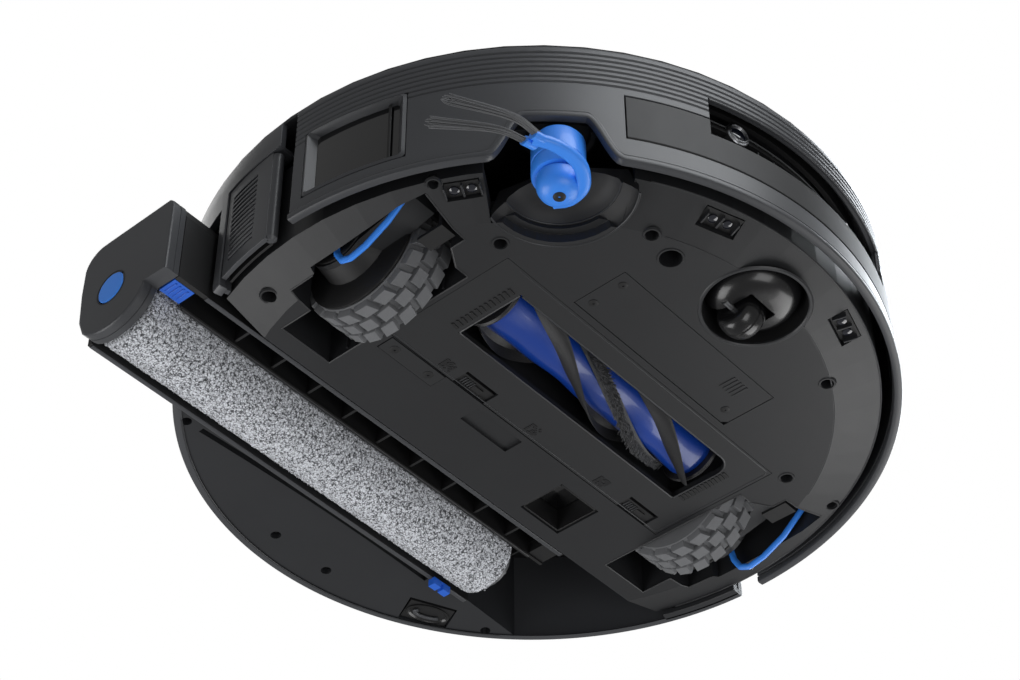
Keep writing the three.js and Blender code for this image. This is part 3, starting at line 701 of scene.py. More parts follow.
# ---- sub-assemblies ------------------------------------------------------
@dataclass
class Bumper:
    """The sprung front half of the wall, its lower lip, and the windows set into it."""

    radius: float = 175.5
    thick: float = 3.2
    top: float = 90.8
    lip_top: float = 21.0
    lip_radius: tuple[float, float] = (172.2, 176.5)
    arch: tuple[float, float, float] = (-136.8, 5.2, 24.6)
    window: tuple[float, float, float, float] = (-126.5, -53.5, 32.5, 61.0)
    slot_gap: tuple[float, float, float] = (-113.0, -69.0, 75.0)
    side: tuple[float, float, float, float] = (-176.0, -158.4, 27.5, 70.5)
    body: str = "bumper_assembly"

    def rise(self, angle: float) -> float:
        """How far the lip arches up over the side brush at an angle."""
        centre, flat, height = self.arch
        return height * ease((9.8 - abs(angle - centre)) / flat)

    def skin_rows(self, angle: float) -> list[tuple[float, float]]:
        """The outer face from the lip to the grooved top edge."""
        low = self.lip_top + 0.5 + self.rise(angle)
        rows = [(self.radius - 0.4, low), (self.radius, low + 0.5)]
        for z in (27.5, 32.5, 34.5, 40.0, 46.0, 50.5):
            t = (z - 22.0) / 29.0
            rows.append((self.radius, low + 0.5 + (51.2 - low - 0.5) * t if self.rise(angle) > 0.01 else z))
        rows += [(self.radius, z) for z in (52.0, 56.0, 61.0, 63.0)]
        for i in range(7):
            z = 65.2 + i * 3.3
            rows += [
                (self.radius, z), (self.radius - 0.55, z + 0.45), (self.radius - 0.55, z + 0.95),
                (self.radius, z + 1.4),
            ]
        rows += [(self.radius, 88.6), (self.radius - 0.4, 90.0), (self.radius - 1.4, self.top)]
        return sorted(rows, key=lambda row: row[1])

    def skin(self) -> None:
        """The bumper's wall with its three openings."""
        a0, a1, z0, z1 = self.window
        s0, s1, top = self.slot_gap
        w0, w1, y0, y1 = self.side
        angles = sorted(set(steps(-178, -2, 176) + [a0, a1, w0, w1, s0, s1]))
        z_at = [z for _, z in self.skin_rows(-90)]

        def keep(angle: float, row: int) -> bool:
            z = (z_at[row] + z_at[row + 1]) / 2
            if w0 < angle < w1 and y0 < z < y1:
                return False
            if a0 < angle < a1 and z0 < z < z1:
                return False
            return not (s0 < angle < s1 and z0 < z < top)

        Solid().panel(angles, self.skin_rows, keep, self.thick).build(
            "bumper_skin", Finish.SHELL, self.body, "shell", ("bumper",), 0.3)

    def lip(self) -> None:
        """The rounded lip along the bottom, arched over the side brush."""
        inner, outer = self.lip_radius
        path = [polar((inner + outer) / 2, a, 19.2 + self.rise(a)) for a in steps(-178, -2, 352)]
        width = [outer - inner] * len(path)
        Solid().sweep(path, width, [3.7] * len(path), sides=12, power=4.5).build(
            "lip_moulding", Finish.SHELL, self.body, "shell", ("bumper_lip",))
        bead = [polar(outer - 0.4, a, 20.9 + self.rise(a)) for a in steps(-177.6, -2.4, 352)]
        Solid().bar(bead, 0.9, 0.8, sides=8).build(
            "lip_bead", Finish.SHELL, self.body, "shell")

    def front_window(self) -> None:
        """The black sensor band, notched round the camera slot."""
        a0, a1, z0, z1 = self.window
        s0, s1, _ = self.slot_gap

        def rows(angle: float) -> list[tuple[float, float]]:
            zs = [z0 + 0.4, z0 + 1.0, z0 + 6, 44.0, 50.5, 55.0, z1 - 1.0, z1 - 0.4]
            return [(self.radius - (0.5 if z in (z0 + 0.4, z1 - 0.4) else -0.1), z) for z in zs]

        angles = sorted(set(steps(a0 + 0.15, a1 - 0.15, 72) + [s0, s1]))
        Solid().panel(angles, rows, lambda a, row: not (s0 < a < s1 and row >= 4), 2.2).build(
            "sensor_band", Finish.BAND, self.body, "gloss", ("sensor_window",), 0.2)

    def slot_surround(self) -> None:
        """The bright chamfer round the camera slot."""
        s0, s1, top = self.slot_gap
        ends = [polar(self.radius - 1.4, a, 0)[:2] for a in (s0, s1)]
        path = [polar(self.radius - 0.7, a, top - 0.3) for a in steps(s0 + 0.2, s1 - 0.2, 42)]
        Solid().bar(path, 1.3, 0.9, sides=8).build(
            "slot_chamfer", Finish.SHELL, self.body, "shell")
        sides = Solid()
        for (x, y), lean in zip(ends, (0.25, -0.25)):
            sides.bar([(x, y, 61.6), (x, y, 68.0), (x, y, top - 0.6)], 1.2, 1.2, (1, lean, 0), 8)
        sides.build("slot_cheeks", Finish.SHELL, self.body, "shell")

    def side_window(self) -> None:
        """The raised frame and smoked pane at the bumper's right end."""
        w0, w1, z0, z1 = self.side
        r = self.radius
        corners = [(w0 + 0.5, z0 + 1.5), (w1 - 0.5, z0 + 1.5), (w1 - 0.5, z1 - 1.5), (w0 + 0.5, z1 - 1.5)]
        rings = []
        for a, z in between(corners + corners[:1], 0.03, 0.97, 14):
            ca, cz = (w0 + w1) / 2, (z0 + z1) / 2
            out = 1.0 + 1.1 / 24.0
            big = (ca + (a - ca) * out, cz + (z - cz) * out)
            small = (ca + (a - ca) * 0.86, cz + (z - cz) * 0.9)
            rings.append([
                polar(r - 0.2, *big), polar(r + 0.55, ca + (a - ca) * 0.985, cz + (z - cz) * 0.985),
                polar(r - 3.4, *small), polar(r - 4.2, *small), polar(r - 3.6, *big),
            ])
        Solid().loft(rings, closed=True).build(
            "side_window_frame", Finish.SHELL, self.body, "shell", smooth=25)

        def rows(angle: float) -> list[tuple[float, float]]:
            return [(r - 3.3, z) for z in steps(z0 + 3.0, z1 - 3.0, 6)]

        Solid().panel(steps(w0 + 1.0, w1 - 1.0, 16), rows, lambda a, row: True, 1.6).build(
            "side_pane", Finish.GLOSS, self.body, "gloss", ("side_window",), 0.2)
        post = [polar(r - 2.2, w1 - 3.0, z) for z in steps(z0 + 3.5, z1 - 3.5, 4)]
        Solid().bar(post, 1.6, 1.0, (1, 0.3, 0), 8).build(
            "side_pane_post", Finish.DARK, self.body, "gloss")

    def build(self) -> None:
        """Builds the bumper."""
        self.skin()
        self.lip()
        self.front_window()
        self.slot_surround()
        self.side_window()


@dataclass
class Shell:
    """The rear wall, deck, vent and lid."""

    radius: float = 175.0
    front: float = 166.4
    low: float = 15.0
    top: float = 91.2
    deck: float = 68.8
    bay: tuple[float, float] = (136.9, 163.3)
    vent: tuple[float, float] = (165.3, 178.5)
    louvres_at: tuple[float, float] = (167.0, 173.4)
    louvre_count: int = 14
    louvre_pitch: float = 3.1

    def wall_rows(self, angle: float) -> list[tuple[float, float]]:
        """The rear wall's outer face, rolled in at the bottom and top."""
        zs = [self.low + 2.4, 30.0, 45.0, 60.0, self.deck, 75.2, 80.0, 88.8]
        return (
            [(self.radius - 1.5, self.low), (self.radius - 0.4, self.low + 0.6)]
            + [(self.radius, z) for z in zs]
            + [(self.radius - 0.4, 90.4), (self.radius - 1.4, self.top)]
        )

    def wall(self) -> None:
        """The rear wall, open at the mop bay and the vent."""
        angles = sorted(set(steps(2.0, 178.5, 176) + [*self.bay, self.vent[0]]))
        zs = [z for _, z in self.wall_rows(90)]

        def keep(angle: float, row: int) -> bool:
            z = (zs[row] + zs[row + 1]) / 2
            if self.bay[0] < angle < self.bay[1] and z < self.deck:
                return False
            return not (self.vent[0] < angle and z < 75.2)

        Solid().panel(angles, self.wall_rows, keep, 3.4).build(
            "rear_wall", Finish.SHELL, "body", "shell", ("upper_shell",), 0.25)

    def deck_and_ledges(self) -> None:
        """The deck under the lid, the inner front wall and the ledge over the vent."""
        back, front, well = 36.5, -50.0, 100.0
        ring = [p for p in plan(self.front - 0.6, -180, 0, 90) if p[1] < front]
        ring += [(well, front), (well, back)]
        ring += [p for p in plan(self.radius - 3.5, 2, 178, 88) if p[1] > back]
        ring += [(-well, back), (-well, front)]
        Solid().prism(ring, self.deck, self.deck + 2.4).build("deck_plate", Finish.DARK, "body", "shell")

        def rows(angle: float) -> list[tuple[float, float]]:
            return [(self.front, z) for z in (self.deck, 74.0, 80.0, 86.0, self.top)]

        slot = (-115.5, -66.5)
        Solid().panel(
            steps(-181.5, 3, 184), rows, lambda a, row: not (slot[0] < a < slot[1] and row < 2), 2.4,
        ).build("front_inner_wall", Finish.DARK, "body", "shell")
        ledge = plan(self.front - 2, 162, 178.2, 16) + plan(self.radius - 0.6, 178.2, 162, 16)
        Solid().prism(ledge, 75.4, 77.8).build("vent_ledge", Finish.SHELL, "body", "shell", bevel=0.3)
        flange = plan(self.front + 0.4, 2, 16.6, 15) + plan(self.radius - 3.3, 16.6, 2, 15)
        Solid().prism(flange, self.low, self.low + 3).build(
            "rear_flange", Finish.RIM, "body", "shell", bevel=0.3)
        post = Solid()
        for angle in (2.6, 163.9):
            x, y, _ = polar(self.front + 3.2, angle, 0)
            post.box(x - 2.6, x + 2.6, y - 1.4, y + 1.4, self.low + 2, self.top - 0.5, angle)
        post.build("rear_posts", Finish.SHELL, "body", "shell", bevel=0.5)

    def rear_plate(self) -> None:
        """The crescent behind the mop bay, its rim line, drain groove and screws."""
        dress("rear_underbody", Finish.RIM)
        rim = [polar(170.6, a, 15.1) for a in steps(47, 133, 86)]
        Solid().bar(rim, 0.9, 0.7, sides=8).build("rear_rim_line", Finish.RIM, "body", "plastic")
        lip = [(x, 120.6, 20.3) for x in steps(-113, 118, 40)]
        Solid().bar(lip, 1.2, 1.3, sides=8).build("bay_edge_bead", Finish.RIM, "body", "plastic")
        screws = Solid()
        for x, y, z in ((-113.5, 124.6, 22.4), (-22, 155.6, 21.2), (16, 156.8, 21.2), (109, 128.4, 21.8)):
            screws.lathe(((2.2, 0), (2.2, 0.8), (1.6, 1.3), (0.6, 1.3), (0.5, 0.7)), (x, y, z), DOWN, 16)
        screws.build("rear_screws", Finish.DARK, "body", "plastic", smooth=30)

    def lid(self) -> None:
        """The lid, its ring and its start button."""
        dress("top_cover", Finish.TOP)
        dress("power_button", Finish.GLOSS)
        ring = [polar(13.2, a, 0) for a in steps(0, 360, 72)]
        path = [(x, y - 120, 94.7) for x, y, _ in ring[:-1]]
        rings = []
        for x, y, z in path:
            out = Vector((x, y + 120, 0)).normalized()
            rings.append([
                tuple(Vector((x, y, z)) + out * (0.9 * math.cos(k)) + Vector((0, 0, 0.45 * math.sin(k))))
                for k in (math.tau * j / 8 for j in range(8))
            ])
        Solid().loft(rings, closed=True).build("button_ring", Finish.BEZEL, "cover", "shell")

    def louvres(self) -> None:
        """The vent block with slanting louvres and its rounded front post."""
        z0, z1 = span("vent_panel")[4:]
        a0, a1 = self.louvres_at

        def rows(angle: float) -> list[tuple[float, float]]:
            zs = [z0]
            for i in range(self.louvre_count):
                zs += [26.0 + i * self.louvre_pitch, 27.7 + i * self.louvre_pitch]
            return [(self.radius - 0.6, z) for z in zs + [z1]]

        def keep(angle: float, row: int) -> bool:
            return not (a0 < angle < a1 and row % 2 == 1 and 0 < row < 2 * self.louvre_count)

        angles = sorted(set(steps(165.7, 176.8, 22) + [a0, a1]))
        Solid().panel(angles, rows, keep, 2.4).build(
            "vent_block", Finish.SHELL, "body", "shell", ("vent_panel",), 0.25)
        slats = Solid()
        for i in range(self.louvre_count):
            z = 27.0 + i * self.louvre_pitch
            path = [polar(self.radius - 3.0, a, z + (a1 - a) * 0.34) for a in steps(166.6, 173.8, 8)]
            slats.bar(path, 3.4, 0.8, sides=6)
        slats.build("vent_slats", Finish.DARK, "body", "shell")
        back = plan(self.radius - 6.0, 165.8, 176.6, 10) + plan(self.radius - 4.8, 176.6, 165.8, 10)
        Solid().prism(back, z0, z1).build("vent_back", Finish.DARK, "body", "shell")
        Solid().lathe(
            ((1.6, z0), (2.9, z0 + 1.2), (2.9, z1 - 1.2), (1.6, z1)), (-171.0, 9.4, 0), UP, 24,
        ).build("vent_post", Finish.SHELL, "body", "shell")

    def build(self) -> None:
        """Builds the shell."""
        self.wall()
        self.deck_and_ledges()
        self.rear_plate()
        self.louvres()
        self.lid()


@dataclass
class BasePlate:
    """The flat underside with its screws, sensors, dish and battery cover."""

    flat: float = 11.0
    side_brush: tuple[float, float] = (-117.6, -113.4)
    holes: tuple[tuple[float, float, float], ...] = (
        (-149.5, 31.5, 2.9), (-108, -71.5, 2.5), (-68.2, -125.2, 2.5), (-51.3, -122.6, 4.6),
        (106.5, -71.5, 2.5), (62.8, -126.8, 2.5), (-149.6, -69, 2.0), (144.5, -72.4, 2.2),
    )

    def screws(self) -> None:
        """Cross-head screws in their sunk holes, each with a moulded collar."""
        heads, collars, crosses = Solid(), Solid(), Solid()
        for x, y, r in self.holes:
            z = 20.6
            heads.lathe(
                ((r * 0.95, 0), (r * 0.95, 0.9), (r * 0.7, 1.6), (0.3, 1.8)),
                (x, y, z + 1.2), DOWN, 20
            )
            for turn in (0, 90):
                crosses.box(x - r * 0.5, x + r * 0.5, y - 0.35, y + 0.35, z - 0.75, z - 0.35, turn + 20)
            lift = plate_rise(x, y)
            k = r + 0.5
            section = ((k + 0.1, 0.5), (k + 0.25, -0.45), (k + 1.0, -0.45), (k + 1.5, 0.5))
            collars.loft([
                [(x + c * reach, y + s * reach, self.flat + lift + h) for reach, h in section]
                for c, s in turns(28)
            ], closed=True)
        heads.build("plate_screws", Finish.DARK, "body", "plastic", smooth=25)
        crosses.build("plate_screw_slots", Finish.DARK, "body", "plastic")
        collars.build("screw_collars", Finish.PLATE, "body", "plastic")

    def dish(self) -> None:
        """The bowl over the side brush, with its bright rim and the step outside it."""
        x, y = self.side_brush
        centre = (x + 2, y + 1, 0)
        reach = steps(-46, 102, 60)
        profile = (
            (34.2, 11.5), (33.6, 12.6), (31.2, 14.8), (27.6, 17.0), (26.6, 17.6), (25.6, 19.4),
            (20.0, 22.0), (13.0, 23.2), (12.9, 25.6), (30.0, 25.6), (34.2, 16.0),
        )
        rings = []
        for a in reach:
            c, s = math.cos(math.radians(a)), math.sin(math.radians(a))
            rings.append([(centre[0] + r * c, centre[1] + r * s, z) for r, z in profile])
        Solid().loft(rings).build("dish_bowl", Finish.DARK, "body", "plastic", smooth=40)
        for name, r, z, w in (("dish_rim", 34.6, 11.1, 1.2), ("dish_ridge", 26.9, 17.3, 0.9)):
            rim = arc(centre[0], centre[1], r, reach, z)
            Solid().bar(rim, w, 0.9, sides=8).build(name, Finish.RIM, "body", "plastic")

    def cliff_sensors(self) -> None:
        """A framed window with two small lenses at each drop sensor."""
        for i in (1, 2, 3):
            node = f"cliff_sensor_{i}"
            dress(node, Finish.DARK, 0.3)
            x0, x1, y0, y1, z0, _ = span(node)
            turn = {1: -61.0, 2: -19.5, 3: 16.0}[i]
            cx, cy = (x0 + x1) / 2, (y0 + y1) / 2
            c, s = math.cos(math.radians(turn)), math.sin(math.radians(turn))
            eyes, bar = Solid(), Solid()
            for k in (-3.9, 3.9):
                eyes.lathe(
                    ((2.3, 0.6), (2.3, -0.8), (1.7, -1.1), (0.3, -1.3)),
                    (cx + k * c, cy + k * s, z0), UP, 20
                )
            eyes.build(f"drop_eyes_{i}", Finish.LENS, "body", "smoke")
            bar.box(cx - 0.5, cx + 0.5, cy - 3.6, cy + 3.6, z0 - 1.8, z0 + 0.4, turn)
            for k in (-8.0, 8.0):
                bar.box(
                    cx + k * c - 0.4, cx + k * c + 0.4,
                    cy + k * s - 3.4, cy + k * s + 3.4, z0 - 2.6, z0 + 0.3, turn
                )
            bar.build(f"drop_frame_{i}", Finish.RIM, "body", "plastic", bevel=0.2)

    def recesses(self) -> None:
        """Ribs round the dock window with its pane, and the bay's edge strip."""
        frame_bar = Solid()
        for x in (37.9, 64.4):
            frame_bar.box(x, x + 1.0, 15.6, 41.4, self.flat + 0.6, 26)
        for y in (15.6, 40.4):
            frame_bar.box(37.9, 65.4, y, y + 1.0, self.flat + 0.6, 26)
        frame_bar.build("dock_window_frame", Finish.DARK, "body", "plastic", bevel=0.2)
        pane = Solid().box(39, 64.2, 16.8, 40.2, 24.0, 25.4)
        pane.build("dock_window_pane", Finish.GLOSS, "body", "gloss", bevel=0.4)
        edge = [(x, 50.0, self.flat + 0.7) for x in steps(-134, 134, 60)]
        Solid().bar(edge, 0.8, 1.5, sides=8, power=4).build(
            "bay_front_strip", Finish.RIM, "body", "plastic")

    def battery(self) -> None:
        """The battery cover with its seam, grip ribs and screws."""
        dress("battery_cover", Finish.PLATE, 0.3)
        x0, x1, y0, y1, z0, _ = span("battery_cover")
        grips = Solid()
        for i in range(5):
            x = x1 - 14 - i * 2.4
            grips.box(x, x + 1.1, y0 + 5, y0 + 14, z0 - 0.35, z0 + 0.3)
        grips.build("battery_grips", Finish.PLATE, "body", "plastic", bevel=0.12)
        screws = Solid()
        for x, y in ((x0 + 6, y0 + 6), (x0 + 6, y1 - 6), (x1 - 8, y1 - 7)):
            screws.lathe(
                ((2.4, 0.3), (2.3, -0.2), (1.5, -0.45), (0.5, -0.4), (0.4, 0.1)), (x, y, z0), UP, 20)
        screws.build("battery_screws", Finish.DARK, "body", "plastic", smooth=25)

    def ring(self) -> None:
        """The step where the plate turns up towards its rim, and the rim's bead."""
        before = [polar(PLATE_EDGE + 0.4, a, self.flat + 0.12) for a in steps(-116, -100.4, 16)]
        after = [polar(PLATE_EDGE + 0.4, a, self.flat + 0.12) for a in steps(-80.4, -30, 50)]
        seam = Solid()
        for line in (before, after):
            seam.bar(line, 0.7, 0.35, sides=6)
        seam.build("ring_seam", Finish.RIM, "body", "plastic")
        edge = [polar(166.2, a, 18.2) for a in steps(-122, 14, 136)]
        Solid().bar(edge, 1.0, 1.3, sides=8).build("plate_edge_bead", Finish.RIM, "body", "plastic")

    def build(self) -> None:
        """Builds the plate."""
        dress("chassis", Finish.PLATE, 0.35)
        self.screws()
        self.dish()
        self.cliff_sensors()
        self.recesses()
        self.battery()
        self.ring()


@dataclass
class BrushBay:
    """The main brush, the guard that holds it in and the guard's latches."""

    y: float = -38.0
    z: float = 28.0
    radius: float = 22.0
    core: float = 14.6
    ends: tuple[float, float] = (-74.0, 76.0)
    turn: float = 232.0
    start: float = 188.0

    def angle_at(self, t: float) -> float:
        """How far the fins have wound at a share of the brush's length, in radians."""
        return math.radians(self.start + self.turn * t)

    def ribbon(self, shift: float, foot: float, tip: float, thick: float, lean: float = 0.0) -> Solid:
        """A helical ribbon from the core out to a radius."""
        x0, x1 = self.ends
        rings = []
        for t in steps(0.012, 0.988, 96):
            a = self.angle_at(t) + math.radians(shift)
            ring = []
            for r, s in (
                (foot, -thick * 1.1), ((foot + tip) / 2, -thick * 0.5),
                (tip - 0.6, -thick * 0.4), (tip, -thick * 0.15), (tip, thick * 0.15),
                (tip - 0.6, thick * 0.4), ((foot + tip) / 2, thick * 0.5), (foot, thick * 1.1),
            ):
                b = a + lean * ((r - foot) / (tip - foot)) ** 2
                ring.append((
                    x0 + (x1 - x0) * t, self.y + r * math.cos(b) - s * math.sin(b),
                    self.z + r * math.sin(b) + s * math.cos(b),
                ))
            rings.append(ring)
        return Solid().loft(rings)

    def brush(self) -> None:
        """The blue core, three rubber fins and the strip of bristles."""
        x0, x1 = self.ends
        c = self.core
        profile = [
            (2.6, x0 - 3.6), (3.0, x0 - 3.0), (3.0, x0 - 0.6), (c - 1.6, x0 - 0.2), (c - 0.4, x0 + 1.4),
        ]
        profile += [
            (c + 0.35 * math.cos(8 * math.pi * t), x0 + 4 + (x1 - x0 - 8) * t) for t in steps(0, 1, 60)
        ]
        profile += [
            (c - 0.4, x1 - 1.4), (c - 1.6, x1 + 0.2), (3.0, x1 + 0.6), (3.0, x1 + 3.0), (2.6, x1 + 3.4),
        ]

        def twist(a: float, x: float) -> float:
            t = (x - x0) / (x1 - x0)
            return 1.0 + 0.028 * math.cos(3 * (a - self.angle_at(min(1.0, max(0.0, t)))))

        # the core's darkened blue is painted shade
        Solid().lathe(profile, (0, self.y, self.z), RIGHT, 72, twist).build(
            "brush_tube", Finish.CORE, "main_brush", "blue", ("brush_core",), smooth=50)
        fins = self.ribbon(0, c, self.radius, 1.3, -0.3)
        for shift in (120, 240):
            more = self.ribbon(shift, c, self.radius, 1.3, -0.3)
            fins.add(more.points, more.faces)
        for x in (x0 + 1.2, x1 - 1.2):
            fins.lathe(
                ((c, x - 1.1), (17.6, x - 1.1), (18.3, x), (17.6, x + 1.1), (c, x + 1.1)),
                (0, self.y, self.z), RIGHT, 56
            )
        fins.build("brush_fins", Finish.FIN, "main_brush", "seal", ("brush_blades",), smooth=45)
        strip = Solid()
        dice = random.Random(7)
        foot = self.ribbon(-60, c, c + 2.0, 3.4)
        strip.add(foot.points, foot.faces)
        x_len = x1 - x0
        for _ in range(FIBRE_COUNT):
            t = 0.03 + 0.94 * dice.random()
            a = self.angle_at(t) - math.radians(60) + dice.uniform(-0.16, 0.16)
            b = a + dice.uniform(-0.06, 0.06)
            x = x0 + x_len * t
            far = self.radius - 1.6 - dice.random() * 1.4
            lean = dice.uniform(-0.8, 0.8)
            w = 0.16
            root = [(x + dx, self.y + (c + 1) * math.cos(a + da), self.z + (c + 1) * math.sin(a + da))
                    for dx, da in ((-w, -0.012), (w, -0.012), (0, 0.016))]
            tip = [(x + lean + dx, self.y + far * math.cos(b + da), self.z + far * math.sin(b + da))
                   for dx, da in ((-w, -0.006), (w, -0.006), (0, 0.008))]
            strip.loft([root, tip])
        strip.build("bristle_strip", Finish.BRISTLE, "main_brush", "bristle", ("brush_strip",))

    def guard(self) -> None:
        """The guard plate with its comb ends, raised seam, textured marks and latches."""
        dress("brush_cover", Finish.COVER, 0.5)
        x0, x1, y0, y1, z0, _ = span("brush_cover")
        combs = Solid()
        for x, ya, yb in ((-81.6, -55, -21), (85.2, -50, -23)):
            count = 13
            for i in range(count):
                y = ya + (yb - ya) * i / (count - 1)
                combs.box(x - 2.4, x + 2.0, y - 0.7, y + 0.7, z0 - 0.55, z0 + 0.6, 8)
        combs.build("guard_combs", Finish.DARK, "brush_guard", "plastic", bevel=0.15)
        lip = [(-77.0, y, z0 + 0.2) for y in steps(-56.2, -19.8, 12)]
        lip += [(x, -19.4, z0 + 0.2) for x in steps(-76.4, 81.8, 40)]
        lip += [(82.1, y, z0 + 0.2) for y in steps(-20, -46, 9)]
        lip += arc(72.5, -47, 9.6, steps(0, -88, 8), z0 + 0.2)
        lip += [(x, -56.6, z0 + 0.2) for x in steps(72, -76, 40)]
        Solid().bar(lip, 1.0, 1.0, sides=6).build(
            "mouth_lip", Finish.RIM, "brush_guard", "plastic")
        seam = [
            (x0 + 2.0, y1 - 1.2), (x1 - 3.0, y1 - 1.2), (x1 - 1.4, y1 - 3.0),
            (x1 - 1.4, y0 + 3.0), (x1 - 3.0, y0 + 1.2), (x0 + 2.0, y0 + 1.2)
        ]
        line = [(x, y, z0 + 0.02) for x, y in between(seam, 0, 0.96, 18)]
        Solid().bar(line, 0.7, 0.4, sides=6).build(
            "guard_bead", Finish.RIM, "brush_guard", "plastic")
        marks = Solid()
        dice = random.Random(3)
        for x in (-67.0, -6.0, 46.0):
            for i in range(7):
                for j in range(6):
                    if dice.random() < 0.68:
                        a, b = x + i * 1.05, -3.4 + j * 1.05
                        marks.box(a - 0.5, a + 0.5, b - 0.5, b + 0.5, z0 - 0.25, z0 + 0.3)
        marks.build("texture_marks", Finish.MARK, "brush_guard", "plastic")
        for side, node in (("right", "cover_latch_right"), ("left", "cover_latch_left")):
            dress(node, Finish.DARK, 0.3)
            a, b, c, d, z, _ = span(node)
            ribs = Solid()
            for i in range(5):
                ribs.box(a + 2 + i * 1.6, a + 2.8 + i * 1.6, c + 1.2, d - 1.2, z + 0.2, z + 1.1)
            ribs.build(f"latch_ribs_{side}", Finish.RIM, f"guard_latch_{side}", "plastic", bevel=0.1)
        dress("hinge_plate", Finish.COVER, 0.3)
        a, b, c, d, z, _ = span("hinge_plate")
        screws = Solid()
        for x in (a + 6.5, b - 6.5):
            screws.lathe(
                ((2.6, 0.3), (2.5, -0.15), (1.6, -0.4), (0.6, -0.35), (0.5, 0.1)),
                (x, (c + d) / 2, z), UP, 20
            )
        screws.build("hinge_screws", Finish.DARK, "body", "plastic", smooth=25)

    def build(self) -> None:
        """Builds the brush bay."""
        self.brush()
        self.guard()
        dress("brush_motor", Finish.STEEL, 0.4)


@dataclass
class SideBrush:
    """The sweeping brush: blue motor can, domed hub with a curled arm, and two tufts."""

    x: float = -117.6
    y: float = -113.4
    hairs: int = 44
    body: str = "side_brush"

    def motor(self) -> None:
        """The ribbed blue can that holds the motor."""
        profile = (
            (9.6, 15.4), (11.6, 15.6), (12.2, 16.6), (12.2, 22.0), (11.8, 22.4), (11.8, 23.4), (12.2, 23.8),
            (12.2, 36.4), (11.0, 38.4), (9.0, 39.0), (4.0, 39.0),
        )
        can = Solid().lathe(profile, (self.x, self.y, 0), UP, 64)
        can.lathe(((5.0, 38.6), (5.0, 45.4), (4.4, 46.0), (1.0, 46.0)), (self.x + 6, self.y + 6, 0), UP, 32)
        for i in range(12):
            a = math.radians(30 * i + 12)
            cx, cy = self.x + 11.2 * math.cos(a), self.y + 11.2 * math.sin(a)
            can.box(cx - 0.6, cx + 0.6, cy - 0.45, cy + 0.45, 26.4, 35.8, 30 * i + 12)
        can.build("side_motor_can", Finish.BRIGHT, "body", "blue", ("side_brush_motor",), smooth=40)

    def hub(self) -> None:
        """The domed hub, its screw and the curled arm that holds the tufts."""
        profile = (
            (1.2, 4.0), (4.4, 4.3), (7.0, 5.2), (8.9, 6.8),
            (9.9, 9.0), (10.2, 11.4), (10.2, 14.6), (9.0, 14.8)
        )
        hub = Solid().lathe(profile, (self.x, self.y, 0), UP, 64)
        knots = (
            (4, 7, 8.4), (7, 0, 8.0), (5, -9, 8.2), (-4, -15.5, 8.4),
            (-14, -16.5, 8.5), (-23, -14.5, 8.5), (-30, -10.5, 8.4)
        )
        path = curve([(self.x + a, self.y + b, z) for a, b, z in knots], 7)
        width = [5.4 + 1.2 * math.sin(math.pi * i / (len(path) - 1)) for i in range(len(path))]
        hub.sweep(path, width, [4.4] * len(path), sides=14, power=2.8)
        end = path[-1]
        for shift in (-2.6, 2.4):
            hub.lathe(((1.6, -3.0), (2.3, -2.4), (2.4, 3.4), (1.7, 3.6)),
                      (end[0] + 1.5, end[1] + shift, end[2]), Vector((-1, 0.25, 0)), 18)
        hub.build("side_hub_arm", Finish.BRIGHT, self.body, "blue", ("side_brush_hub",), smooth=50)
        screw = Solid().lathe(
            ((2.9, 0.4), (2.8, -0.1), (1.9, -0.5), (0.7, -0.4), (0.5, 0.2)),
            (self.x, self.y, 4.0), UP, 20
        )
        screw.build("side_hub_screw", Finish.DARK, self.body, "blue", smooth=25)
        self.tufts(end)

    def tufts(self, end: Point) -> None:
        """Two fans of stiff bristles."""
        dice = random.Random(11)
        for name, dy, z, far, node in (
            ("a", -3.0, 8.6, -190.6, "side_brush_tuft_a"), ("b", 2.6, 7.6, -186.6, "side_brush_tuft_b"),
        ):
            tuft = Solid()
            knots = (
                (end[0] + 0.5, self.y - 10.4 + dy, 8.8),
                (self.x - 46, self.y - 7 + 1.6 * dy, z),
                (far, self.y + 8 + 2.4 * dy, z - 1.6)
            )
            middle = curve(knots, 6)
            for _ in range(self.hairs):
                a, b = dice.uniform(-1.4, 1.4), dice.uniform(-0.9, 0.9)
                fan, short = dice.uniform(0.9, 1.5), dice.uniform(0.88, 1.0)
                path = []
                for i, (x, y, h) in enumerate(middle):
                    t = i / (len(middle) - 1)
                    path.append((
                        end[0] + (x - end[0]) * short,
                        y + a * (1 + fan * t * t * 0.8), h + b * (1 - 0.2 * t)
                    ))
                thin = [0.7 - 0.22 * i / (len(path) - 1) for i in range(len(path))]
                tuft.sweep(path, thin, thin, sides=4)
            tuft.build(f"side_tuft_{name}", Finish.TUFT, self.body, "bristle", (node,))

    def build(self) -> None:
        """Builds the side brush."""
        self.motor()
        self.hub()


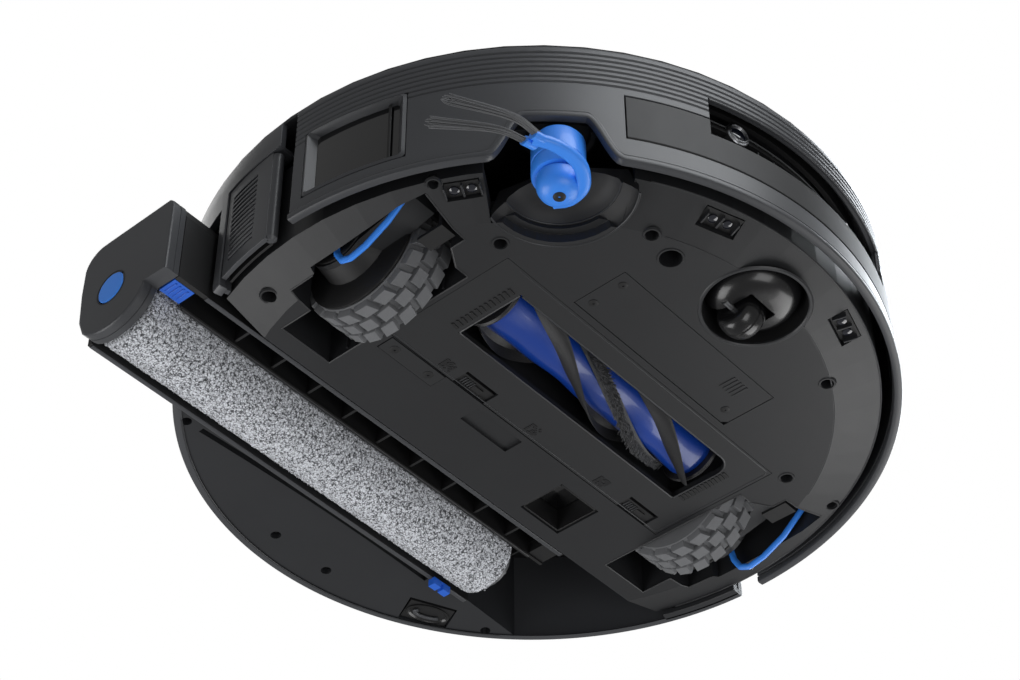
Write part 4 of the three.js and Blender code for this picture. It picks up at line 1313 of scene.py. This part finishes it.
@dataclass
class Caster:
    """The front caster: a domed glossy fork round a crowned wheel."""

    x: float = -1.0
    y: float = -132.0
    trail: float = 8.0
    wheel: float = 11.0

    def fork(self) -> None:
        """The dome, its open cheeks and the well's rim."""
        shell = Solid()
        rings = []
        for i in range(1, 57):
            r = 22.0 * i / 56
            ring = []
            for k in range(128):
                a = math.tau * k / 128
                x, y = r * math.cos(a), r * math.sin(a)
                mouth = ease((8.9 - abs(x)) / 1.2) * ease((y + 4.4) / 1.2)
                ring.append((self.x + x, self.y + y, 10.0 + 9.0 * (r / 22.0) ** 5.5 + 16.0 * mouth))
            rings.append(ring)
        rings.append([(self.x + 21.4 * c, self.y + 21.4 * s, 38.0) for c, s in turns(128)])
        shell.loft(rings)
        shell.lathe(
            ((19.3, 26.0), (19.3, 32.0), (17.2, 36.4), (12.0, 39.6), (4.0, 40.8), (3.9, 52.4), (2.4, 52.8)),
            (self.x, self.y, 0), UP, 56)
        shell.build("caster_dome", Finish.CASTER, "caster", "gloss", ("caster_fork",), bevel=0.5, smooth=42)
        dress("caster_axle", Finish.STEEL, 0.2)
        for name, count, finish, section in (
            ("rim", 96, Finish.RIM, (
                (24.4, 12.6), (24.4, 11.0), (24.9, 10.55), (25.9, 10.55), (26.6, 11.2))),
            ("liner", 72, Finish.DARK, ((24.35, 12.0), (23.9, 20.0), (23.7, 34.0), (24.35, 40.0))),
        ):
            well = [[(self.x + r * c, self.y + r * s, z) for r, z in section] for c, s in turns(count)]
            Solid().loft(well, closed=True).build(f"caster_well_{name}", finish, "body", "plastic")

    def roller(self) -> None:
        """The crowned wheel with its centre groove."""
        w = self.wheel
        profile = (
            (1.9, -7.2), (w - 3.6, -7.3), (w - 2.0, -6.6), (w - 0.9, -5.0), (w - 0.2, -2.6), (w - 0.05, -0.9),
            (w - 0.6, -0.45), (w - 0.6, 0.45), (w - 0.05, 0.9), (w - 0.2, 2.6), (w - 0.9, 5.0),
            (w - 2.0, 6.6), (w - 3.6, 7.3), (1.9, 7.2),
        )
        Solid().lathe(profile, (self.x, self.y + self.trail, w + 0.3), RIGHT, 64).build(
            "caster_tyre", Finish.CASTER, "caster_roller", "gloss", ("caster_wheel",), smooth=40)

    def build(self) -> None:
        """Builds the caster."""
        self.fork()
        self.roller()


@dataclass
class DriveWheel:
    """One sprung drive wheel with its tyre, hub, arm, spring and cable."""

    side: int
    x: float = 115.5
    y: float = -5.0
    z: float = 36.1
    radius: float = 36.0
    width: float = 23.0
    lugs: int = 20
    coils: int = 9

    @property
    def label(self) -> str:
        """The side's name."""
        return "left" if self.side > 0 else "right"

    def tyre(self) -> None:
        """A rubber band with three staggered rows of chamfered blocks."""
        w = self.width / 2
        base = self.radius - 3.4
        cx = self.side * self.x
        tyre = Solid().lathe(
            ((27.2, -w), (base - 0.8, -w), (base, -w + 0.8), (base, w - 0.8), (base - 0.8, w), (27.2, w)),
            (cx, self.y, self.z), RIGHT, 96)
        pitch = 360 / self.lugs
        for row in (-1, 0, 1):
            for i in range(self.lugs):
                middle = (i + 0.5 * (row == 0)) * pitch
                half = pitch * 0.37
                xs = (row * w * 0.66 - w * 0.3, row * w * 0.66 + w * 0.3)
                rings = []
                for r, shrink in ((base - 0.6, 0.0), (self.radius - 0.9, 0.35), (self.radius - 0.05, 1.0)):
                    ring = []
                    for j in range(4):
                        sx = (0, 1, 1, 0)[j]
                        sa = (-1, -1, 1, 1)[j]
                        skew = 2.4 * row * (1 if sx else -1) * 0.6
                        a = math.radians(middle + sa * (half - shrink * 0.8) + skew)
                        x = cx + xs[sx] + (0.45 * shrink if sx == 0 else -0.45 * shrink)
                        ring.append((x, self.y + r * math.cos(a), self.z + r * math.sin(a)))
                    rings.append(ring)
                tyre.loft(rings)
        tyre.build(f"tyre_{self.label}", Finish.TYRE, f"drive_wheel_{self.label}", "tread",
                   (f"wheel_tyre_{self.label}",), smooth=30)

    def hub(self) -> None:
        """The rim with a dished web, raised spokes and a centre cap."""
        w = self.width / 2
        cx = self.side * self.x
        axis = Vector((self.side, 0, 0))
        hub = Solid().lathe(
            ((2.8, -w + 2.0), (24.0, -w + 1.4), (26.8, -w + 0.6), (26.8, w - 0.4),
             (24.4, w - 0.2), (23.2, w - 1.2), (21.6, w - 4.0), (19.0, w - 5.4), (2.8, w - 5.4)),
            (cx, self.y, self.z), axis, 72)
        for i in range(9):
            a = math.radians(40 * i)
            c, s = math.cos(a), math.sin(a)
            path = [
                (cx + self.side * (w - 5.2), self.y + r * c, self.z + r * s)
                for r in (6.0, 12.0, 18.0, 22.4)
            ]
            hub.sweep(path, [2.2, 1.9, 1.7, 1.9], [2.4] * 4, (1, 0, 0), 8, 4.0)
        hub.build(f"hub_{self.label}", Finish.DARK, f"drive_wheel_{self.label}", "plastic",
                  (f"wheel_hub_{self.label}",), smooth=40)

    def suspension(self) -> None:
        """The arm with its cap, screws and the coil spring beside it."""
        body = f"suspension_{self.label}"
        dress(f"wheel_arm_{self.label}", Finish.PLATE, 0.6)
        outer = self.side * 143.6
        axis = Vector((self.side, 0, 0))
        cap = Solid().lathe(
            ((17.6, -0.3), (17.6, 0.5), (16.8, 1.0), (14.4, 1.0), (13.8, 0.4),
             (9.6, 0.4), (9.0, 1.2), (4.0, 1.4), (3.2, 0.9), (0.5, 0.9)),
            (outer, self.y, self.z), axis, 56)
        for i in range(6):
            a = math.radians(60 * i + 20)
            cap.lathe(((1.6, -0.2), (1.6, 1.2), (1.0, 1.6), (0.3, 1.3)),
                      (outer, self.y + 15.4 * math.cos(a), self.z + 15.4 * math.sin(a)), axis, 12)
        cap.lathe(
            ((31.4, -16.4), (32.0, -15.6), (32.0, -14.8), (30.6, -14.0),
             (21.0, -12.4), (19.2, -4.0), (17.6, 0.0)),
            (outer, self.y, self.z), axis, 72)
        cap.build(f"arm_cap_{self.label}", Finish.DARK, body, "plastic", smooth=35)
        coil = []
        x = self.side * 140.5
        for t in steps(0, 1, 180):
            a = math.tau * self.coils * t
            coil.append((x + 2.6 * math.cos(a), -46.0 + 34.0 * t, 57.5 + 2.6 * math.sin(a)))
        Solid().bar(coil, 0.9, 0.9, (0, 1, 0), 6).build(
            f"spring_{self.label}", Finish.STEEL, body, "metal")
        ribs = Solid()
        for i in range(4):
            y = -20.0 - i * 8.0
            ribs.box(outer - 0.6, outer + 0.9, y - 0.6, y + 0.6, self.z - 4, self.z + 14)
        ribs.build(f"arm_ribs_{self.label}", Finish.PLATE, body, "plastic", bevel=0.2)

    def cable(self) -> None:
        """The flat cable that loops down beside the wheel, and the clip that leads it."""
        s = self.side
        anchors = (
            (147.6, -54, 27), (147.7, -40, 15.4), (147.6, -27, 9.0), (147.6, -18, 7.2), (147.4, -12.5, 9.6),
            (147.3, -9, 16), (147.2, -7, 26),
        )
        path = [(s * x, y, z) for x, y, z in between(anchors, 0, 0.8, 4)]
        Solid().bar(path, 3.4, 3.0, (1, 0, 0), 10).build(
            f"cable_blue_{self.label}", Finish.BRIGHT, f"suspension_{self.label}", "blue",
            (f"wheel_cable_{self.label}",))
        dress(f"wheel_bracket_{self.label}", Finish.DARK, 0.3)

    def well(self) -> None:
        """Ribs and a dust lip inside the well."""
        s = self.side
        ribs = Solid()
        for i in range(5):
            y = -32.0 + i * 15.0
            x0, x1 = sorted((s * 101.7, s * 102.7))
            ribs.box(x0, x1, y - 0.5, y + 0.5, 13.0, 58.0)
        corners = (
            (148.3, -63.3), (120.1, -61.3), (120.1, -53.1), (110.1, -46.8), (101.8, -46.8),
            (101.8, 39.8), (132.8, 39.8), (132.8, 21.8), (146.8, 20.3), (147.3, 5.0),
        )
        line = [(s * x, y, 11.1 + plate_rise(x, y)) for x, y in between(corners, 0, 0.94, 8)]
        ribs.bar(line, 0.9, 1.0, sides=6)
        ribs.build(f"well_trim_{self.label}", Finish.PLATE, "body", "plastic")

    def build(self) -> None:
        """Builds the wheel."""
        self.tyre()
        self.hub()
        self.suspension()
        self.cable()
        self.well()


@dataclass
class MopCarriage:
    """The carriage that slides out to the side with the spinning terry roller."""

    x0: float = -192.5
    y0: float = 54.6
    y1: float = 115.0
    z1: float = 62.0
    roller: tuple[float, float, float] = (91.5, 19.5, 19.5)
    ends: tuple[float, float] = (-182.5, 68.0)
    body: str = "mop_carriage"

    def cap_outline(self, inset: float = 0.0) -> list[tuple[float, float]]:
        """The end cap's side outline, pulled in by an inset."""
        y0, y1, z1 = self.y0 + inset, self.y1 - inset, self.z1 - inset
        points = [(y0, 16.0), (y0, 57.0 - inset), (y0 + 1.0, z1 - 2.0), (y0 + 3.0, z1), (y1 - 16.0, z1)]
        points += arc(y1 - 12.0, z1 - 12.0, 12.0, steps(80, 8, 8))
        points += [(y1, 36.0), (y1 - 1.6, 17.0), (y1 - 4.8, 9.0 + inset)]
        ry, rz, rr = self.roller
        points += [
            (
                ry + (rr + 3.4 - inset) * math.cos(math.radians(a)),
                rz - 0.4 + (rr - 1.8 - inset) * math.sin(math.radians(a))
            )
            for a in steps(-48, -172, 16)
        ]
        return points

    def end_cap(self) -> None:
        """The outer cap with rounded edges, a parting line and the seat of its button."""
        by, bz = 92.6, 27.2
        rings = []
        for x, r in ((4.6, 0.4), (4.6, 8.4), (4.3, 8.9), (0.3, 8.9), (0.0, 9.2)):
            ring = []
            for y, z in self.cap_outline(1.0):
                reach = math.hypot(y - by, z - bz)
                ring.append((self.x0 + x, by + r * (y - by) / reach, bz + r * (z - bz) / reach))
            rings.append(ring)
        for x, inset in (
            (0.0, 1.0), (0.3, 0.35), (0.9, 0.02), (4.2, 0.0),
            (4.4, 0.35), (4.9, 0.35), (5.1, 0.0), (8.0, 0.0)
        ):
            rings.append([(self.x0 + x, y, z) for y, z in self.cap_outline(inset)])
        Solid().loft(rings).build(
            "end_cap_shell", Finish.SHELL, self.body, "plastic", ("mop_end_cap",), smooth=17)
        section = ((0.6, 8.95), (-0.12, 9.0), (-0.12, 9.5), (0.6, 9.9))
        seat = [[(self.x0 + x, by + r * c, bz + r * s) for x, r in section] for c, s in turns(56)]
        Solid().loft(seat, closed=True).build("button_seat", Finish.DARK, self.body, "plastic")
        face = Solid().lathe(
            ((8.4, 2.4), (8.4, 0.1), (8.0, -0.25), (7.0, -0.3), (0.4, -0.3)),
            (self.x0, by, bz), RIGHT, 56)
        face.build("cap_button", Finish.BRIGHT, "carriage_button", "blue", ("mop_button",), smooth=35)

    def housing(self) -> None:
        """The channel and roof, the wiper ribs and the drip lip."""
        dress("mop_housing", Finish.DARK, 0.35)
        for name, finish, x0, x1, y, z, width, height in (
            ("water_wiper", Finish.FIN, -168, 76, self.y0 + 15.4, 17.0, 1.6, 1.3),
            ("rear_drip_lip", Finish.SHELL, -183, 76, self.y1 - 1.2, 10.1, 2.4, 1.5),
            ("front_drip_lip", Finish.SHELL, -166, 85, self.y0 + 1.3, 16.0, 2.6, 1.2),
        ):
            strip = [(x, y, z) for x in steps(x0, x1, 60)]
            Solid().bar(strip, width, height, sides=8, power=4).build(
                name, finish, self.body, "plastic")
        dress("mop_latch", Finish.BLUE, 0.8)
        a, _, c, d, z, _ = span("mop_latch")
        grips = Solid()
        for i in range(4):
            grips.box(a + 1.8 + i * 2.4, a + 2.9 + i * 2.4, c + 1.4, d - 1.4, z - 0.5, z + 0.4)
        grips.build("latch_grips", Finish.BLUE, "carriage_latch", "blue", bevel=0.2)
        dress("mop_clip", Finish.BLUE, 0.4)

    def sleeve(self) -> None:
        """The terry sleeve, tufted all over and rounded off at its ends."""
        ry, rz, rr = self.roller
        x0, x1 = self.ends
        around, along = 168, 340
        rings = []
        for i in range(along + 1):
            x = x0 + (x1 - x0) * i / along
            near = min(x - x0, x1 - x)
            fall = 2.6 * (1 - min(1.0, near / 2.6)) ** 2
            ring = []
            for j in range(around):
                a = math.tau * j / around
                spot = Vector((x, rr * math.cos(a), rr * math.sin(a)))
                loops = noise.noise(spot * 1.05) * 0.55 + noise.noise(spot * 0.5 + Vector((7, 3, 1))) * 0.45
                r = rr - 0.62 - fall + 0.6 * max(-1.0, min(1.0, loops * 1.9))
                ring.append((x, ry + r * math.cos(a), rz + r * math.sin(a)))
            rings.append(ring)
        Solid().loft(rings).build(
            "terry_sleeve", Finish.TERRY, "mop_roller", "cloth", ("roller_sleeve",), smooth=80)
        loops = Solid()
        dice = random.Random(5)
        for _ in range(FIBRE_COUNT):
            x, a = dice.uniform(x0 + 0.6, x1 - 0.6), dice.uniform(0, math.tau)
            b = a + dice.uniform(-0.05, 0.05)
            c = a + dice.uniform(-0.06, 0.06)
            lean = dice.uniform(-0.8, 0.8)
            low, high = rr - 1.1, rr - dice.uniform(0.0, 0.35)
            path = [
                (x, ry + low * math.cos(a), rz + low * math.sin(a)),
                (x + lean * 0.6, ry + high * math.cos(b), rz + high * math.sin(b)),
                (x + lean, ry + low * math.cos(c), rz + low * math.sin(c)),
            ]
            loops.bar(path, 0.34, 0.34, (1, 0.2, 0.1), 4)
        loops.build("terry_loops", Finish.TERRY, "mop_roller", "cloth")

    def core(self) -> None:
        """The roller's core with its end discs and drive boss."""
        ry, rz, _ = self.roller
        x0, x1 = self.ends
        left, right = span("roller_core")[:2]
        profile = (
            (2.6, left + 0.2), (3.4, left + 0.8), (3.4, x0 - 0.4), (12.6, x0 - 0.2),
            (13.6, x0 + 0.8), (13.6, x1 - 1.0), (12.6, x1 - 0.2), (11.8, x1 + 0.6), (11.8, x1 + 5.2),
            (11.0, x1 + 5.9), (5.4, x1 + 6.0), (5.4, right - 0.6), (4.6, right),
        )
        core = Solid().lathe(profile, (0, ry, rz), RIGHT, 56)
        for i in range(8):
            a = math.radians(45 * i)
            c, s = math.cos(a), math.sin(a)
            path = [(x1 + 5.9, ry + r * c, rz + r * s) for r in (5.6, 8.0, 10.6)]
            core.bar(path, 1.5, 1.4, (1, 0, 0), 6, 4.0)
        core.build("roller_tube", Finish.BEZEL, "mop_roller", "plastic", ("roller_core",), smooth=38)

    def build(self) -> None:
        """Builds the carriage."""
        self.end_cap()
        self.housing()
        self.sleeve()
        self.core()


@dataclass
class Sensors:
    """The camera module behind the slot, with its two lens barrels."""

    angles: tuple[float, float] = (-105.6, -76.5)
    height: float = 71.0
    radius: float = 161.4

    def build(self) -> None:
        """Builds the sensors."""
        dress("sensor_module", Finish.DARK, 0.4)
        for angle, node, name in zip(self.angles, ("lens_right", "lens_left"), ("right", "left")):
            out = Vector(polar(1, angle, 0))
            centre = polar(self.radius, angle, self.height)
            Solid().lathe(
                ((6.2, 0.2), (6.4, 1.0), (6.4, 4.8), (6.1, 5.3),
                 (5.6, 5.3), (5.2, 6.1), (4.9, 6.1), (4.5, 5.0),
                 (3.4, 4.5), (0.5, 4.4)),
                centre, out, 48,
            ).build(f"lens_barrel_{name}", Finish.STEEL, "body", "smoke", (node,), smooth=28)
            Solid().lathe(
                ((4.4, 4.3), (4.4, 4.9), (3.8, 5.5), (2.6, 5.9), (1.2, 6.1), (0.2, 6.15)), centre, out, 40,
            ).build(f"lens_glass_{name}", Finish.LENS, "body", "smoke", smooth=60)
        lines = Solid()
        for angle in (-101.0, -97.5, -80.5):
            lines.bar([polar(164.6, angle, z) for z in (56.0, 64.0, 74.4)], 0.7, 0.7, (1, 0, 0), 6)
        lines.bar([polar(164.8, a, 74.0) for a in steps(-112, -70, 42)], 0.8, 0.6, sides=6)
        lines.build("module_edges", Finish.BEZEL, "body", "smoke")
        lamp = Solid()
        for angle in (-95.0, -90.0, -85.0):
            lamp.lathe(
                ((2.0, 0.2), (2.0, 1.4), (1.4, 1.9), (0.3, 2.1)),
                polar(160.2, angle, 67.0), Vector(polar(1, angle, 0)), 20
            )
        lamp.build("lamp_row", Finish.LENS, "body", "smoke")


@dataclass
class RearLatch:
    """The finger latch in the rear crescent, with its oval dish and raised grip."""

    x: float = 78.0
    y: float = 142.0
    z: float = 16.6
    turn: float = -24.0

    def oval(self, long: float, short: float, z: float) -> list[Point]:
        """Points round an oval aligned with the latch."""
        c, s = math.cos(math.radians(self.turn)), math.sin(math.radians(self.turn))
        ring = []
        for i in range(48):
            u, v = long * math.cos(math.tau * i / 48), short * math.sin(math.tau * i / 48)
            ring.append((self.x + u * c - v * s, self.y + u * s + v * c, z))
        return ring

    def build(self) -> None:
        """Builds the latch."""
        dress("rear_latch", Finish.DARK, 0.5)
        rings = [self.oval(a, b, self.z + dz) for a, b, dz in (
            (12.0, 7.0, 0.3), (12.0, 7.0, -0.7), (11.0, 6.1, -0.9), (9.8, 5.0, 0.2), (4.0, 1.6, 0.5))]
        Solid().loft(rings).build("latch_dish", Finish.CASTER, "release_latch", "gloss", smooth=50)
        grip = Solid().bar(
            [(x, y, self.z - 0.7) for x, y, _ in self.oval(7.5, 2.6, 0)[4:30]], 2.2, 1.6, sides=10)
        grip.build("latch_grip", Finish.SHELL, "release_latch", "gloss", smooth=50)


@dataclass
class Inside:
    """What sits under the lid and inside the base: battery, board, fan, bin and tank."""

    finishes: dict[str, Finish] = field(default_factory=lambda: {
        "battery_pack": Finish.DARK, "main_board": Finish.BOARD, "fan_housing": Finish.DARK,
        "fan_impeller": Finish.BEZEL, "dust_bin": Finish.SMOKE, "bin_filter": Finish.PAPER,
        "water_tank": Finish.SMOKE, "water_pump": Finish.PLATE,
    })

    def build(self) -> None:
        """Finishes the inner pieces."""
        for node, finish in self.finishes.items():
            dress(node, finish, 0.4 if node != "main_board" else 0.1)
        for node in ("dust_bin", "water_tank"):
            x0, x1, y0, y1, z0, z1 = span(node)
            trim = Solid()
            for i in range(9):
                x = x0 + 8.0 + i * 2.6
                trim.box(x, x + 1.2, y0 - 0.3, y0 + 0.5, z0 + 5.0, z1 - 4.0)
                trim.box(x1 - 8.0 - i * 2.6, x1 - 6.8 - i * 2.6, y0 - 0.3, y0 + 0.5, z0 + 5.0, z1 - 4.0)
            rim = [
                (x0 + 0.8, y0 + 0.8, z1), (x1 - 0.8, y0 + 0.8, z1),
                (x1 - 0.8, y1 - 0.8, z1), (x0 + 0.8, y1 - 0.8, z1)
            ]
            for edge in zip(rim, rim[1:] + rim[:1]):
                trim.bar(between(edge, 0, 1, 6), 1.4, 0.8, sides=8, power=4)
            trim.build(f"{node}_trim", Finish.BEZEL, "body", "tank", bevel=0.15)


# ---- studio --------------------------------------------------------------
@dataclass(frozen=True)
class Softbox:
    """One square light aimed at the robot."""

    name: str
    at: Point
    size: float
    watts: float
    aim: Point = (0.0, 0.0, 40.0)
    tint: Point = (1.0, 1.0, 1.0)

    def build(self) -> None:
        """Places the light."""
        data = bpy.data.lights.new(self.name, "AREA")
        data.shape = "SQUARE"
        data.size = self.size * MM
        data.energy = self.watts
        data.color = self.tint
        lamp = bpy.data.objects.new(self.name, data)
        lamp.location = place(self.at)
        lamp.rotation_euler = (place(self.aim) - lamp.location).to_track_quat("-Z", "Y").to_euler()
        bpy.context.scene.collection.objects.link(lamp)


@dataclass
class Studio:
    """The camera, lights, plain backdrop and pale floor."""

    camera_at: Point = (-653.6, -546.4, -726.28)
    azimuth: float = 40.72
    elevation: float = 43.18
    roll: float = -0.27
    lens: float = 82.41
    lights: tuple[Softbox, ...] = (
        Softbox("below_key", (-250, -750, -800), 620, 3.0),
        Softbox("below_rear", (-260, 420, -420), 420, 2.0, (-100.0, 110.0, 10.0)),
        Softbox("below_right", (520, -120, -330), 420, 1.6, (130.0, -40.0, 10.0)),
        Softbox("right_high", (1050, 120, 800), 1000, 30.0, tint=(0.9, 0.95, 1.0)),
        Softbox("front_high", (-150, -1000, 900), 1000, 12.0, tint=(0.94, 0.97, 1.0)),
        Softbox("back_high", (200, 1000, 900), 700, 4.0),
    )

    def camera(self) -> None:
        """Sets the camera."""
        data = bpy.data.cameras.new("camera")
        data.sensor_width = 36.0
        data.lens = self.lens
        data.clip_start, data.clip_end = 0.01, 60.0
        az, el = math.radians(self.azimuth), math.radians(self.elevation)
        ahead = Vector((math.cos(el) * math.cos(az), math.cos(el) * math.sin(az), math.sin(el)))
        right = ahead.cross(UP).normalized()
        up = right.cross(ahead)
        turn = Matrix((right, up, -ahead)).transposed() @ Matrix.Rotation(math.radians(self.roll), 3, "Z")
        camera = bpy.data.objects.new("camera", data)
        camera.matrix_world = Matrix.Translation(place(self.camera_at)) @ turn.to_4x4()
        bpy.context.scene.collection.objects.link(camera)
        bpy.context.scene.camera = camera

    def world(self) -> None:
        """A plain white backdrop that lights the robot softly."""
        made = bpy.data.worlds.new("backdrop")
        bpy.context.scene.world = made
        made.use_nodes = True
        tree = made.node_tree
        plain = tree.nodes["Background"]
        plain.inputs["Color"].default_value = (1, 1, 1, 1)
        plain.inputs["Strength"].default_value = 0.26
        seen = tree.nodes.new("ShaderNodeBackground")
        seen.inputs["Color"].default_value = (1, 1, 1, 1)
        seen.inputs["Strength"].default_value = 1.0
        path = tree.nodes.new("ShaderNodeLightPath")
        mix = tree.nodes.new("ShaderNodeMixShader")
        tree.links.new(path.outputs["Is Camera Ray"], mix.inputs[0])
        tree.links.new(plain.outputs[0], mix.inputs[1])
        tree.links.new(seen.outputs[0], mix.inputs[2])
        tree.links.new(mix.outputs[0], tree.nodes["World Output"].inputs["Surface"])

    def floor(self) -> None:
        """A pale floor, seen from above only, so that it never hides the underside."""
        mesh = bpy.data.meshes.new("floor")
        ring = [(3.0 * c, 3.0 * s, -0.0004) for c, s in turns(64)]
        mesh.from_pydata(ring, [], [tuple(range(64))])
        floor = bpy.data.objects.new("floor", mesh)
        bpy.context.scene.collection.objects.link(floor)
        g = Graph("pale_floor")
        pale = g.ramp(g.noise(3.0), (0.0, (0.50, 0.50, 0.50)), (1.0, (0.53, 0.53, 0.53)))
        g.set(Base_Color=pale, Roughness=0.6, Emission_Color=pale, Emission_Strength=0.9)
        clear = g.node("ShaderNodeBsdfTransparent")
        back = g.node("ShaderNodeNewGeometry").outputs["Backfacing"]
        mix = g.node("ShaderNodeMixShader", {}, {0: back, 1: g.shader.outputs[0], 2: clear.outputs[0]})
        g.tree.links.new(mix.outputs[0], g.tree.nodes["Material Output"].inputs["Surface"])
        mesh.materials.append(g.material)
        floor.visible_diffuse = floor.visible_glossy = floor.visible_transmission = False
        floor.visible_shadow = False

    def build(self) -> None:
        """Builds the studio."""
        self.camera()
        self.world()
        self.floor()
        for light in self.lights:
            light.build()
        bpy.context.scene.view_settings.view_transform = "Standard"


def main() -> None:
    """Builds the studio and every sub-assembly."""
    logging.basicConfig(level=logging.INFO, format="%(name)s %(message)s")
    Studio().build()
    parts = (
        Bumper(), Shell(), BasePlate(), BrushBay(), SideBrush(), Caster(), DriveWheel(-1), DriveWheel(1),
        MopCarriage(), Sensors(), RearLatch(), Inside(),
    )
    for part in parts:
        log.info("building %s", type(part).__name__)
        part.build()
    bpy.context.view_layer.update()


if __name__ == "__main__":
    main()
